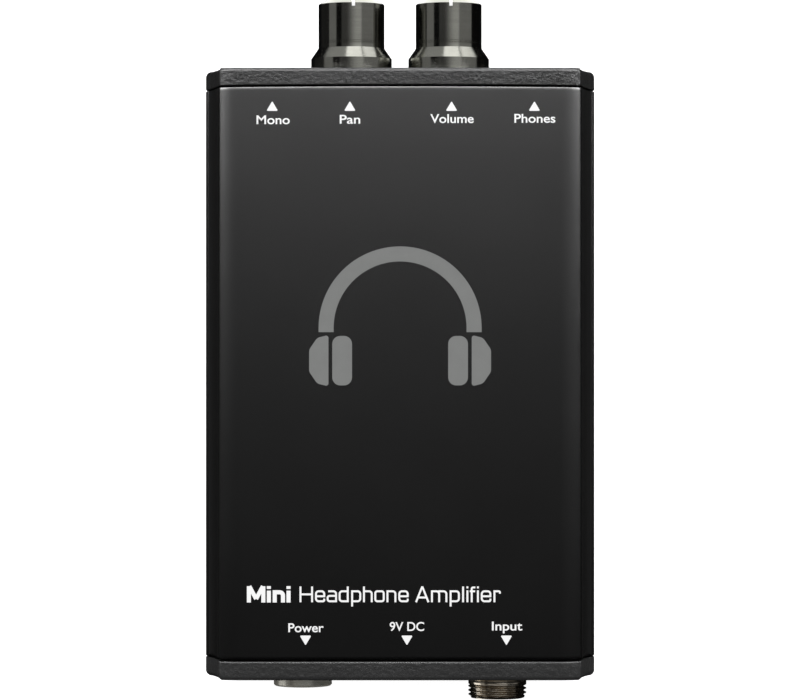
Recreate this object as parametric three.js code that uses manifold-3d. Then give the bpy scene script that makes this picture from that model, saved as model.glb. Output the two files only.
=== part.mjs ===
// Pocket headphone amplifier: a two-part extruded metal case closed by two cast
// end caps, with pan and volume knobs, a mono button and a phones socket on the
// front cap, and a power button, a DC socket and a threaded input connector on
// the rear cap.  Millimetres.  X is across the case, +Y points to the knobs and
// +Z is the outward normal of the labelled face.  Z = 0 is under the feet.
import * as THREE from 'three';
import { mergeVertices } from 'three/addons/utils/BufferGeometryUtils.js';
import Module from 'manifold-3d';

const wasm = await Module();
wasm.setup();

// ---------------------------------------------------------------- dimensions
const FOOT_H = 2.0;             // rubber feet under the case
const FACE_Z = 38.0;            // labelled face above the table
const AXIS_Z = 20.0;            // every control and socket sits on this height
const TOP_HALF = 36.85;         // half width of the flat labelled face
const EDGE_R = 3.0;             // long edges of the case
const SIDE_LEAN = 11;           // degrees that the sides lean outward
const HALF_W = 41.85;           // widest half width, at the parting line
const PART_Z = 26.0;            // parting line between cover and base
const WALL_COVER = 1.6;
const WALL_BASE = 2.0;
const FLOOR_Z = 4.9;            // inner floor of the base
const Y_FRONT = 60.0;           // outer face of the front end cap
const Y_REAR = -70.1;           // outer face of the rear end cap
const FRONT_RIM = 3.57;         // rim depth of the front cap
const REAR_RIM = 4.04;          // rim depth of the rear cap
const CAP_PLATE = 2.5;
const CAP_WALL = 2.0;
const CAP_CORNER_R = 1.8;
const SEAM = 0.3;               // visible gap between case parts
const COVER_Y1 = Y_FRONT - FRONT_RIM - SEAM;
const COVER_Y0 = Y_REAR + REAR_RIM + SEAM;

const KNOB_PITCH = 21.1;
const KNOB_R = 7.07;
const KNOB_SKIRT_R = 8.65;
const KNOB_TOP_Y = 76.05;
const POT_R = 8.25;
const SHAFT_R = 3.0;
const BUSH_R = 3.5;
const MONO_X = -27.4;
const PHONES_X = 28.2;

const POWER_X = -21.1;
const POWER_R = 6.3;
const POWER_OUT_Y = -72.7;
const DC_X = 0.0;
const INPUT_X = 21.1;
const INPUT_R = 6.3;            // crest radius of the 1/2 inch thread
const INPUT_ROOT_R = 5.78;
const INPUT_TIP_Y = -76.05;
const THREAD_PITCH = 0.907;     // 28 turns to the inch

const SCREW_TOP = [34.6, 33.0]; // x, z of the screw ports in the cover
const SCREW_LOW = [34.0, 8.6];  // x, z of the screw ports in the base
const SCREW_R = 1.25;
const SCREW_HOLE_R = 1.5;

const PCB_Z = 12.0;
const PCB_T = 1.6;
const PCB_Y0 = -18.0;
const PCB_Y1 = 54.0;
const PCB_HALF = 34.0;
const PILLARS = [[30, 40], [-30, 40], [30, -12], [-30, -12]];

const BAT = { x: 24.25, y0: -42.5, y1: -25.0, z0: 5.3, z1: 31.8 };
const DOOR = { x: 27.5, y0: -44.5, y1: -23.0, z0: 2.3, z1: 3.55 };
const FEET = [[32.4, 46.0], [-32.4, 46.0], [32.4, -56.0], [-32.4, -56.0]];
const FOOT_R = 3.2;

// ------------------------------------------------------------------ materials
const mat = (color, roughness, metalness) => new THREE.MeshStandardMaterial({ color, roughness, metalness });
const caseBlack = () => mat(0x26282a, 0.5, 0.6);
const capBlack = () => mat(0x3a3b3c, 0.65, 0.5);
const gunmetal = () => mat(0x4a4b46, 0.28, 1.0);
const steel = () => mat(0x8d8f92, 0.35, 1.0);
const nickel = () => mat(0x9a8f7c, 0.25, 1.0);
const brass = () => mat(0xb8923f, 0.3, 1.0);
const blackPlastic = () => mat(0x161617, 0.55, 0.0);
const rubber = () => mat(0x101011, 0.85, 0.0);
const board = () => mat(0x14532b, 0.5, 0.0);
const foil = () => mat(0x2a2c30, 0.35, 0.4);

// -------------------------------------------------------------------- helpers
const solid = (g) => {
  const c = g.clone();
  c.deleteAttribute('normal');
  c.deleteAttribute('uv');
  const m = mergeVertices(c, 1e-4);
  return new wasm.Manifold(new wasm.Mesh({
    numProp: 3,
    vertProperties: Float32Array.from(m.attributes.position.array),
    triVerts: Uint32Array.from(m.index.array),
  }));
};
const geometryOf = (s) => {
  const m = s.getMesh();
  const g = new THREE.BufferGeometry();
  g.setAttribute('position', new THREE.BufferAttribute(Float32Array.from(m.vertProperties), 3));
  g.setIndex(new THREE.BufferAttribute(Uint32Array.from(m.triVerts), 1));
  g.computeVertexNormals();
  return g;
};
const cut = (a, ...rest) => rest.reduce((s, r) => s.subtract(r), a);
const join = (a, ...rest) => rest.reduce((s, r) => s.add(r), a);

// a cylinder along Y between y0 and y1
const rodY = (r, y0, y1, x = 0, z = 0, seg = 24, r2 = r) => {
  const g = new THREE.CylinderGeometry(r2, r, y1 - y0, seg);
  g.translate(x, (y0 + y1) / 2, z);
  return solid(g);
};
const rodZ = (r, z0, z1, x = 0, y = 0, seg = 20, r2 = r) => {
  const g = new THREE.CylinderGeometry(r2, r, z1 - z0, seg);
  g.rotateX(Math.PI / 2);
  g.translate(x, y, (z0 + z1) / 2);
  return solid(g);
};
const block = (x0, x1, y0, y1, z0, z1) => {
  const g = new THREE.BoxGeometry(x1 - x0, y1 - y0, z1 - z0);
  g.translate((x0 + x1) / 2, (y0 + y1) / 2, (z0 + z1) / 2);
  return solid(g);
};
// an outline in X and Z, swept along Y from y0 to y1
const sweepY = (points, y0, y1, bevel = 0) => {
  const shape = new THREE.Shape(points.map(([x, z]) => new THREE.Vector2(x, z)));
  const g = new THREE.ExtrudeGeometry(shape, bevel
    ? { depth: y1 - y0 - 2 * bevel, bevelEnabled: true, bevelThickness: bevel, bevelSize: bevel, bevelOffset: -bevel, bevelSegments: 2, steps: 1 }
    : { depth: y1 - y0, bevelEnabled: false, steps: 1 });
  g.rotateX(Math.PI / 2);
  g.translate(0, bevel ? y1 - bevel : y1, 0);
  return solid(g);
};
// an outline in X and Y, swept along Z
const sweepZ = (points, z0, z1) => {
  const shape = new THREE.Shape(points.map(([x, y]) => new THREE.Vector2(x, y)));
  const g = new THREE.ExtrudeGeometry(shape, { depth: z1 - z0, bevelEnabled: false, steps: 1 });
  g.translate(0, 0, z0);
  return solid(g);
};
// a turned part about the Y axis, from a profile of [radius, y] pairs that runs
// from the axis at the lowest y up to the axis at the highest y
const turned = (profile, seg = 24) =>
  new THREE.LatheGeometry(profile.map(([r, y]) => new THREE.Vector2(r, y)), seg);
const hexY = (af, y0, y1, x = 0, z = 0) => {
  const g = new THREE.CylinderGeometry(af / Math.sqrt(3), af / Math.sqrt(3), y1 - y0, 6);
  g.translate(x, (y0 + y1) / 2, z);
  return solid(g);
};

const root = new THREE.Group();
const put = (name, shape, material, at = null) => {
  const g = shape.isBufferGeometry ? shape : geometryOf(shape);
  const m = new THREE.Mesh(g, material);
  m.name = name;
  if (at) m.position.set(at[0], at[1], at[2]);
  root.add(m);
  return m;
};

// --------------------------------------------------------------- case section
const rad = (d) => (d * Math.PI) / 180;
const t = Math.tan(rad(SIDE_LEAN));
const arc = (cx, cz, r, a0, a1, n) => {
  const out = [];
  for (let i = 0; i <= n; i += 1) {
    const a = rad(a0 + ((a1 - a0) * i) / n);
    out.push([cx + r * Math.cos(a), cz + r * Math.sin(a)]);
  }
  return out;
};
const mirror = (half) => [...half, ...half.slice().reverse().map(([x, z]) => [-x, z])];
const EDGE_CZ = FACE_Z - EDGE_R;
const shoulder = (inset) => arc(TOP_HALF, EDGE_CZ, EDGE_R - inset, 90, SIDE_LEAN, 5);
const sideX = (z) => TOP_HALF + EDGE_R * Math.cos(rad(SIDE_LEAN)) + (EDGE_CZ + EDGE_R * Math.sin(rad(SIDE_LEAN)) - z) * t;
const LOW_CX = HALF_W - (20.0 - (FOOT_H + EDGE_R - EDGE_R * Math.sin(rad(SIDE_LEAN)))) * t - EDGE_R * Math.cos(rad(SIDE_LEAN));
const heel = (inset) => arc(LOW_CX, FOOT_H + EDGE_R, EDGE_R - inset, -SIDE_LEAN, -90, 5);
const bendZ = FACE_Z - EDGE_R + EDGE_R * Math.sin(rad(SIDE_LEAN)) - (HALF_W - (TOP_HALF + EDGE_R * Math.cos(rad(SIDE_LEAN)))) / t;

// closed outline of the whole case, used by the caps
const fullSection = (inset) => {
  const k = inset / Math.cos(rad(SIDE_LEAN));
  return mirror([
    ...shoulder(inset),
    [HALF_W - inset, bendZ - (inset - k) / t],
    [HALF_W - inset, 20.0 + (inset - k) / t],
    ...heel(inset),
  ]);
};

// ----------------------------------------------------------------- top cover
{
  const z0 = PART_Z + 0.2;
  const outer = mirror([...shoulder(0), [sideX(z0), z0], [sideX(z0) - WALL_COVER, z0]]
    .concat([[sideX(z0 + 7) - WALL_COVER / Math.cos(rad(SIDE_LEAN)), z0 + 7]])
    .concat([[sideX(34.6) - WALL_COVER / Math.cos(rad(SIDE_LEAN)), 34.6], [TOP_HALF + 0.4, FACE_Z - WALL_COVER]]));
  let cover = sweepY(outer, COVER_Y0, COVER_Y1);
  for (const s of [-1, 1]) {
    const [x, z] = SCREW_TOP;
    cover = join(cover, block(s * x - 3, s * x + 3, COVER_Y0, COVER_Y1, z - 2.9, FACE_Z - 1.0));
    cover = cut(cover, rodY(SCREW_HOLE_R, COVER_Y0 - 1, COVER_Y1 + 1, s * x, z, 16));
  }
  put('top_cover', cover, caseBlack());
}

// ---------------------------------------------------------------- base shell
{
  const z1 = PART_Z - 0.1;
  const half = [
    [39.0, z1 + 3.0], [39.0, z1], [HALF_W, z1], [HALF_W, 20.0], ...heel(0),
  ];
  const inner = [
    [LOW_CX - 0.2, FLOOR_Z],
    [HALF_W - WALL_BASE - (20.0 - FLOOR_Z - 1.6) * t, FLOOR_Z + 1.6],
    [HALF_W - WALL_BASE, 20.0],
    [HALF_W - WALL_BASE, z1 - 2.6],
    [37.6, z1 - 1.6],
    [37.6, z1 + 3.0],
  ];
  const outline = [...half, ...half.slice().reverse().map(([x, z]) => [-x, z]),
    ...inner.slice().reverse().map(([x, z]) => [-x, z]), ...inner];
  let base = sweepY(outline, COVER_Y0, COVER_Y1);
  for (const s of [-1, 1]) {
    const [x, z] = SCREW_LOW;
    base = join(base, block(s * x - 3, s * x + 3, COVER_Y0, COVER_Y1, FLOOR_Z - 1, z + 2.9));
    base = cut(base, rodY(SCREW_HOLE_R, COVER_Y0 - 1, COVER_Y1 + 1, s * x, z, 16));
  }
  for (const [x, y] of PILLARS) base = join(base, rodZ(2.9, FLOOR_Z - 0.5, PCB_Z - 0.05, x, y, 16));
  for (const [x, y] of PILLARS) base = cut(base, rodZ(1.3, FLOOR_Z + 1.0, PCB_Z + 1, x, y, 12));
  // runway of the battery door: a recess with an undercut along both sides
  base = cut(base,
    block(-DOOR.x - 0.3, DOOR.x + 0.3, COVER_Y0 - 1, DOOR.y1 + 0.3, 0, 3.85),
    block(-DOOR.x - 1.5, DOOR.x + 1.5, COVER_Y0 - 1, DOOR.y1 + 0.3, 2.75, 3.85),
    block(-BAT.x - 0.95, BAT.x + 0.95, BAT.y0 - 0.7, BAT.y1 + 0.7, 0, FLOOR_Z + 1));
  put('base_shell', base, caseBlack());
}

// ------------------------------------------------------------------ end caps
const planOutline = (y0, y1, roundFront) => {
  const w = HALF_W + 0.02;
  const r = CAP_CORNER_R;
  const pts = [];
  const arcs = (cx, cy, a0, a1) => {
    for (let i = 0; i <= 4; i += 1) {
      const a = rad(a0 + ((a1 - a0) * i) / 4);
      pts.push([cx + r * Math.cos(a), cy + r * Math.sin(a)]);
    }
  };
  if (roundFront) {
    pts.push([-w - 1, y0 - 1], [w + 1, y0 - 1], [w + 1, y0], [w, y0]);
    arcs(w - r, y1 - r, 0, 90);
    arcs(-w + r, y1 - r, 90, 180);
    pts.push([-w, y0], [-w - 1, y0]);
  } else {
    pts.push([w + 1, y1 + 1], [-w - 1, y1 + 1], [-w - 1, y1], [-w, y1]);
    arcs(-w + r, y0 + r, 180, 270);
    arcs(w - r, y0 + r, 270, 360);
    pts.push([w, y1], [w + 1, y1]);
  }
  return pts;
};
const endCap = (y0, y1, isFront, extras) => {
  const plateIn = isFront ? y1 - CAP_PLATE : y0 + CAP_PLATE;
  let cap = sweepY(fullSection(0), y0, y1, 0.4);
  cap = cap.intersect(sweepZ(planOutline(y0, y1, isFront), -1, FACE_Z + 1));
  cap = cut(cap, isFront
    ? sweepY(fullSection(CAP_WALL), y0 - 1, plateIn)
    : sweepY(fullSection(CAP_WALL), plateIn, y1 + 1));
  for (const s of [-1, 1]) {
    for (const [x, z] of [SCREW_TOP, SCREW_LOW]) {
      cap = join(cap, isFront
        ? rodY(3.25, y0 + 0.1, plateIn + 0.5, s * x, z, 16)
        : rodY(3.25, plateIn - 0.5, y1 - 0.1, s * x, z, 16));
      cap = cut(cap, rodY(SCREW_HOLE_R, y0 - 1, y1 + 1, s * x, z, 16));
      cap = cut(cap, isFront
        ? rodY(1.3, y1 - 1.65, y1 + 0.1, s * x, z, 16, 3.05)
        : rodY(3.05, y0 - 0.1, y0 + 1.65, s * x, z, 16, 1.3));
    }
  }
  for (const e of extras) cap = cut(cap, e);
  return cap;
};
const FRONT_IN = Y_FRONT - CAP_PLATE;   // inner face of the front plate
const REAR_IN = Y_REAR + CAP_PLATE;     // inner face of the rear plate
put('front_end_cap', endCap(Y_FRONT - FRONT_RIM, Y_FRONT, true, [
  rodY(BUSH_R + 0.3, FRONT_IN - 1, Y_FRONT + 1, -KNOB_PITCH / 2, AXIS_Z, 24),
  rodY(BUSH_R + 0.3, FRONT_IN - 1, Y_FRONT + 1, KNOB_PITCH / 2, AXIS_Z, 24),
  rodY(3.3, FRONT_IN - 1, Y_FRONT + 1, MONO_X, AXIS_Z, 24),
  rodY(3.3, FRONT_IN - 1, Y_FRONT + 1, PHONES_X, AXIS_Z, 24),
]), capBlack());
put('rear_end_cap', endCap(Y_REAR, Y_REAR + REAR_RIM, false, [
  rodY(7.0, Y_REAR - 1, REAR_IN + 1, POWER_X, AXIS_Z, 28),
  rodY(4.4, Y_REAR - 1, REAR_IN + 1, DC_X, AXIS_Z, 24),
  rodY(6.15, Y_REAR - 1, REAR_IN + 1, INPUT_X, AXIS_Z, 28),
]), capBlack());

// countersunk socket screws that hold the caps to the two shells
const capScrew = (dir) => {
  const g = turned([[0, 0], [SCREW_R, 0], [SCREW_R, 6.6], [2.5, 7.85], [2.5, 8.0], [0, 8.0]], 14);
  let s = solid(g).subtract(hexY(1.5, 6.9, 9));
  const out = geometryOf(s);
  if (dir < 0) out.rotateX(Math.PI);
  return out;
};
[[1, 1], [-1, 1], [1, -1], [-1, -1]].forEach(([sx, sz], i) => {
  const [x, z] = sz > 0 ? SCREW_TOP : SCREW_LOW;
  put(`front_cap_screw_${i + 1}`, capScrew(1), steel(), [sx * x, Y_FRONT - 0.12 - 8, z]);
  put(`rear_cap_screw_${i + 1}`, capScrew(-1), steel(), [sx * x, Y_REAR + 0.12 + 8, z]);
});

// ---------------------------------------------------------------- rubber feet
FEET.forEach(([x, y], i) => {
  const r = FOOT_R;
  const g = turned([[0, 0], [r - 0.5, 0], [r, 0.5], [r, FOOT_H - 0.05], [0, FOOT_H - 0.05]], 20);
  g.rotateX(Math.PI / 2);
  put(['foot_front_right', 'foot_front_left', 'foot_rear_right', 'foot_rear_left'][i], g, rubber(), [x, y, 0]);
});

// --------------------------------------------------------------- battery door
{
  let door = block(-DOOR.x, DOOR.x, DOOR.y0, DOOR.y1, DOOR.z0, DOOR.z1);
  door = join(door, block(-DOOR.x - 1.2, DOOR.x + 1.2, DOOR.y0, DOOR.y1, 3.05, DOOR.z1));
  for (let i = 0; i < 4; i += 1) {
    door = cut(door, block(-8, 8, DOOR.y0 + 3 + i * 1.8, DOOR.y0 + 3.8 + i * 1.8, 0, DOOR.z0 + 0.45));
  }
  put('battery_door', door, blackPlastic());
}

// ------------------------------------------------------- pan and volume pots
const potBody = () => {
  const yb = FRONT_IN - 0.05;
  let pot = rodY(POT_R, yb - 9.0, yb, 0, 0, 28).intersect(block(-POT_R - 1, POT_R + 1, yb - 10, yb + 1, -6.05, POT_R + 1));
  pot = join(pot, rodY(BUSH_R, yb - 1, Y_FRONT + 2.4, 0, 0, 24));
  return cut(pot, rodY(SHAFT_R + 0.2, yb - 7.0, Y_FRONT + 3, 0, 0, 20));
};
const nutY = (af, hole, y0, y1) => cut(hexY(af, y0, y1), rodY(hole, y0 - 1, y1 + 1, 0, 0, 24));
const knob = () => {
  const y0 = 60.3;
  const profile = [
    [0, y0], [KNOB_SKIRT_R - 0.15, y0], [KNOB_SKIRT_R, y0 + 0.15], [KNOB_SKIRT_R, 63.1], [KNOB_R, 65.35],
    [KNOB_R, 66.85], [KNOB_R - 0.12, 66.93], [KNOB_R - 0.12, 67.05], [KNOB_R, 67.13],
    [KNOB_R, 74.9], [5.4, KNOB_TOP_Y], [5.0, KNOB_TOP_Y], [4.6, KNOB_TOP_Y - 0.25], [0, KNOB_TOP_Y - 0.25],
  ];
  let k = solid(turned(profile, 40));
  k = cut(k,
    rodY(7.0, y0 - 1, 63.0, 0, 0, 28),
    rodY(SHAFT_R + 0.15, y0, 73.0, 0, 0, 20),
    block(-0.45, 0.45, 74.27, 80, KNOB_R - 2.6, KNOB_R + 1),
    rodZ(1.5, -KNOB_SKIRT_R - 1, -2.0, 0, 69.5, 12));
  return k;
};
for (const [name, s] of [['pan', -1], ['volume', 1]]) {
  const at = [(s * KNOB_PITCH) / 2, 0, AXIS_Z];
  put(`${name}_pot_body`, potBody(), steel(), at);
  put(`${name}_pot_shaft`, turned([[0, 50.9], [SHAFT_R, 50.9], [SHAFT_R, 72.5], [SHAFT_R - 0.4, 72.9], [0, 72.9]], 20), steel(), at);
  put(`${name}_pot_nut`, nutY(10, BUSH_R + 0.15, Y_FRONT + 0.05, Y_FRONT + 2.05), nickel(), at);
  put(`${name}_knob`, knob(), gunmetal(), at);
  const grub = solid(turned([[0, -6.6], [1.3, -6.6], [1.3, -3.3], [0.8, -3.05], [0, -3.05]], 12));
  const g = geometryOf(cut(grub, hexY(1.3, -7, -5.4)));
  g.rotateX(Math.PI / 2);
  put(`${name}_knob_grub_screw`, g, steel(), [at[0], 69.5, AXIS_Z]);
}

// ---------------------------------------------------------------- mono switch
{
  let sw = block(-4, 4, FRONT_IN - 12, FRONT_IN - 0.05, -4, 4);
  sw = cut(sw, block(-2.3, 2.3, FRONT_IN - 10, FRONT_IN + 1, -2.3, 2.3));
  put('mono_switch_body', sw, blackPlastic(), [MONO_X, 0, AXIS_Z]);
  const stem = join(
    solid(turned([[0, FRONT_IN - 0.4], [2.95, FRONT_IN - 0.4], [2.95, 60.75], [2.65, 61.05], [0, 61.05]], 24)),
    block(-2.0, 2.0, FRONT_IN - 7.5, FRONT_IN + 0.5, -2.0, 2.0));
  // the collar behind the button starts clear of the switch body by the travel
  put('mono_button', cut(stem, block(-4, 4, FRONT_IN - 0.5, FRONT_IN + 1.2, 2.0, 4), block(-4, 4, FRONT_IN - 0.5, FRONT_IN + 1.2, -4, -2.0),
    block(2.0, 4, FRONT_IN - 0.5, FRONT_IN + 1.2, -4, 4), block(-4, -2.0, FRONT_IN - 0.5, FRONT_IN + 1.2, -4, 4)), blackPlastic(), [MONO_X, 0, AXIS_Z]);
}

// ---------------------------------------------------------------- phones jack
{
  let jack = block(-6, 6, FRONT_IN - 14, FRONT_IN - 0.05, -6.0, 4.5);
  jack = join(jack, rodY(3.0, FRONT_IN - 1, Y_FRONT + 0.85, 0, 0, 24));
  jack = cut(jack, rodY(1.8, FRONT_IN - 12.5, Y_FRONT + 2, 0, 0, 20));
  put('phones_jack_body', jack, blackPlastic(), [PHONES_X, 0, AXIS_Z]);
  const ring = cut(rodY(4.1, Y_FRONT + 0.05, Y_FRONT + 1.0, 0, 0, 28), rodY(3.15, Y_FRONT - 1, Y_FRONT + 2, 0, 0, 24));
  put('phones_jack_nut', ring, nickel(), [PHONES_X, 0, AXIS_Z]);
}

// --------------------------------------------------------------- power switch
{
  const at = [POWER_X, 0, AXIS_Z];
  const ring = join(
    cut(rodY(7.4, Y_REAR - 0.65, Y_REAR - 0.05, 0, 0, 32), rodY(POWER_R + 0.3, Y_REAR - 2, Y_REAR + 2, 0, 0, 32)),
    cut(rodY(6.9, Y_REAR - 0.3, REAR_IN, 0, 0, 32), rodY(POWER_R + 0.3, Y_REAR - 2, REAR_IN + 2, 0, 0, 32)));
  put('power_bezel', ring, steel(), at);
  const g = turned([[0, POWER_OUT_Y], [5.7, POWER_OUT_Y], [6.1, POWER_OUT_Y + 0.14], [POWER_R, POWER_OUT_Y + 0.5],
    [POWER_R, REAR_IN - 0.3], [2.6, REAR_IN - 0.3], [2.6, -60.5], [0, -60.5]], 32);
  put('power_button', g, steel(), at);
  let body = block(-6.8, 6.8, -65.3, -50.6, -6.8, 6.8);
  body = cut(body, rodY(2.9, -66, -57.5, 0, 0, 20));
  put('power_switch_body', body, blackPlastic(), at);
}

// ------------------------------------------------------------------- DC socket
{
  const at = [DC_X, 0, AXIS_Z];
  let jack = join(rodY(5.6, Y_REAR - 0.95, Y_REAR - 0.05, 0, 0, 28), rodY(4.1, Y_REAR - 0.5, -58.0, 0, 0, 24));
  jack = cut(jack, rodY(3.1, Y_REAR - 2, -60.0, 0, 0, 24));
  put('dc_jack_body', jack, blackPlastic(), at);
  put('dc_jack_pin', turned([[0, -69.3], [0.7, -69.3], [1.0, -68.9], [1.0, -60.05], [0, -60.05]], 14), nickel(), at);
  put('dc_jack_nut', nutY(11, 4.25, REAR_IN + 0.05, REAR_IN + 2.05), nickel(), at);
}

// ------------------------------------------------------------- input connector
{
  const at = [INPUT_X, 0, AXIS_Z];
  const tip = INPUT_TIP_Y;
  const profile = [[4.95, tip], [INPUT_ROOT_R, tip], [INPUT_ROOT_R, tip + 0.2]];
  let y = tip + 0.32;
  for (let i = 0; i < 3; i += 1) {
    profile.push([INPUT_ROOT_R, y], [INPUT_R, y + 0.36], [INPUT_R, y + 0.47], [INPUT_ROOT_R, y + 0.83]);
    y += THREAD_PITCH;
  }
  profile.push([INPUT_R, y + 0.33], [INPUT_R, Y_REAR - 0.85], [7.5, Y_REAR - 0.85], [7.5, Y_REAR - 0.05],
    [5.85, Y_REAR - 0.05], [5.85, -60.0], [4.95, -60.0], [4.95, tip]);
  put('input_connector_shell', solid(new THREE.LatheGeometry(profile.map(([r, yy]) => new THREE.Vector2(r, yy)), 28)), nickel(), at);
  let insert = rodY(4.75, -69.6, -60.4, 0, 0, 24);
  insert = cut(insert, block(-0.6, 0.6, -70, -68.6, 3.9, 6));
  const pins = [];
  for (let i = 0; i < 4; i += 1) pins.push([2.6 * Math.cos(rad(45 + 90 * i)), 2.6 * Math.sin(rad(45 + 90 * i))]);
  for (const [px, pz] of pins) insert = cut(insert, rodY(0.65, -71, -59, px, pz, 12));
  put('input_connector_insert', insert, blackPlastic(), at);
  pins.forEach(([px, pz], i) => {
    put(`input_contact_${i + 1}`, turned([[0, -74.0], [0.3, -74.0], [0.5, -73.6], [0.5, -50.0], [0, -50.0]], 12), brass(),
      [at[0] + px, 0, AXIS_Z + pz]);
  });
  put('input_connector_nut', nutY(15, 6.0, REAR_IN + 0.05, REAR_IN + 2.25), nickel(), at);
}

// -------------------------------------------------------------- circuit boards
{
  let pcb = block(-PCB_HALF, PCB_HALF, PCB_Y0, PCB_Y1, PCB_Z, PCB_Z + PCB_T);
  for (const [x, y] of PILLARS) pcb = cut(pcb, rodZ(1.5, PCB_Z - 1, PCB_Z + 3, x, y, 12));
  put('main_board', pcb, board());
  PILLARS.forEach(([x, y], i) => {
    const g = turned([[0, 0], [1.1, 0], [1.1, 6.0], [2.2, 6.0], [2.2, 7.2], [1.7, 7.7], [0, 7.7]], 14);
    g.rotateX(Math.PI / 2);
    put(`board_screw_${i + 1}`, g, steel(), [x, y, PCB_Z + PCB_T + 0.05 - 6.0]);
  });
  put('jack_board', block(-30, 30, -49.8, -48.2, 11.5, 28.5), board());
  put('main_board_header', block(-6, 14, -12.5, -9.5, PCB_Z + PCB_T + 0.05, PCB_Z + PCB_T + 6.0), blackPlastic());

  // ribbon that joins the two boards over the top of the battery
  const w = 9.0;
  const run = [[-47.4, 22.0], [-47.4, 31.6], [-45.6, 33.9], [-43.8, 34.4], [-20, 34.4], [-14.4, 33.6], [-11.6, 31.0], [-11.0, 26.0], [-11.0, 20.1]];
  const up = run.map(([y, z], i) => {
    const a = run[Math.max(0, i - 1)];
    const b = run[Math.min(run.length - 1, i + 1)];
    const l = Math.hypot(b[0] - a[0], b[1] - a[1]);
    return [y - (0.45 * (b[1] - a[1])) / l, z + (0.45 * (b[0] - a[0])) / l];
  });
  const down = run.map(([y, z], i) => {
    const a = run[Math.max(0, i - 1)];
    const b = run[Math.min(run.length - 1, i + 1)];
    const l = Math.hypot(b[0] - a[0], b[1] - a[1]);
    return [y + (0.45 * (b[1] - a[1])) / l, z - (0.45 * (b[0] - a[0])) / l];
  });
  const shape = new THREE.Shape([...up, ...down.reverse()].map(([y, z]) => new THREE.Vector2(y, z)));
  const g = new THREE.ExtrudeGeometry(shape, { depth: 2 * w, bevelEnabled: false, steps: 1 });
  g.rotateY(Math.PI / 2);
  g.rotateX(Math.PI / 2);
  g.translate(4 - w, 0, 0);
  put('board_ribbon', g, mat(0x8a8d92, 0.5, 0.0));
}
const chip = (x, y) => {
  const zb = PCB_Z + PCB_T + 0.05;
  let c = block(-4.8, 4.8, -3.2, 3.2, zb + 0.6, zb + 4.0);
  for (let i = 0; i < 4; i += 1) {
    for (const s of [-1, 1]) {
      c = join(c, block(-3.81 + 2.54 * i - 0.5, -3.81 + 2.54 * i + 0.5, s > 0 ? 3.0 : -3.9, s > 0 ? 3.9 : -3.0, zb, zb + 2.2));
    }
  }
  return cut(c, block(-5.4, -4.2, -0.7, 0.7, zb + 3.4, zb + 5)).translate([x, y, 0]);
};
put('amplifier_chip_1', chip(-12, 22), blackPlastic());
put('amplifier_chip_2', chip(12, 22), blackPlastic());
const can = (r, h) => {
  const g = turned([[0, 0], [r - 0.2, 0], [r, 0.2], [r, 1.4], [r - 0.3, 1.8], [r, 2.2], [r, h - 0.3], [r - 0.3, h], [0, h]], 20);
  g.rotateX(Math.PI / 2);
  return g;
};
const onBoard = PCB_Z + PCB_T + 0.05;
put('capacitor_1', can(4.0, 12.0), foil(), [-22, 6, onBoard]);
put('capacitor_2', can(4.0, 12.0), foil(), [-12, 6, onBoard]);
put('capacitor_3', can(4.0, 12.0), foil(), [22, 6, onBoard]);

// --------------------------------------------------------------------- battery
{
  let tray = cut(block(-26.0, 26.0, -44.4, -23.1, FLOOR_Z + 0.05, 18.0), block(-24.7, 30, -43.0, -24.5, 0, 20),
    block(24.7, 27, -43.0, -24.5, 0, 20));
  put('battery_tray', tray, blackPlastic());
  const round = [];
  const bx = (BAT.y1 - BAT.y0) / 2;
  const bz = (BAT.z1 - BAT.z0) / 2;
  for (const [cx, cz, a0] of [[bx - 2, bz - 2, 0], [-bx + 2, bz - 2, 90], [-bx + 2, -bz + 2, 180], [bx - 2, -bz + 2, 270]]) {
    for (let i = 0; i <= 3; i += 1) {
      const a = rad(a0 + 30 * i);
      round.push(new THREE.Vector2(cx + 2 * Math.cos(a), cz + 2 * Math.sin(a)));
    }
  }
  const g = new THREE.ExtrudeGeometry(new THREE.Shape(round), { depth: 46.4, bevelEnabled: false, steps: 1 });
  g.rotateY(Math.PI / 2);
  g.rotateX(Math.PI / 2);
  g.translate(-BAT.x, (BAT.y0 + BAT.y1) / 2, (BAT.z0 + BAT.z1) / 2);
  let cell = solid(g);
  for (const dz of [-6.35, 6.35]) {
    const stud = new THREE.CylinderGeometry(2.9, 2.9, 2.6, 14);
    stud.rotateZ(Math.PI / 2);
    stud.translate(-BAT.x + 46.4 + 0.8, (BAT.y0 + BAT.y1) / 2, (BAT.z0 + BAT.z1) / 2 + dz);
    cell = join(cell, solid(stud));
  }
  put('battery_9v', cell, mat(0x35383c, 0.35, 0.5));
  put('battery_snap', block(24.6, 27.6, -39.5, -28.0, 6.6, 30.6), blackPlastic());
}

export default root;
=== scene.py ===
import math

import bmesh
import bpy
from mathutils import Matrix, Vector
from mathutils.geometry import tessellate_polygon


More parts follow.
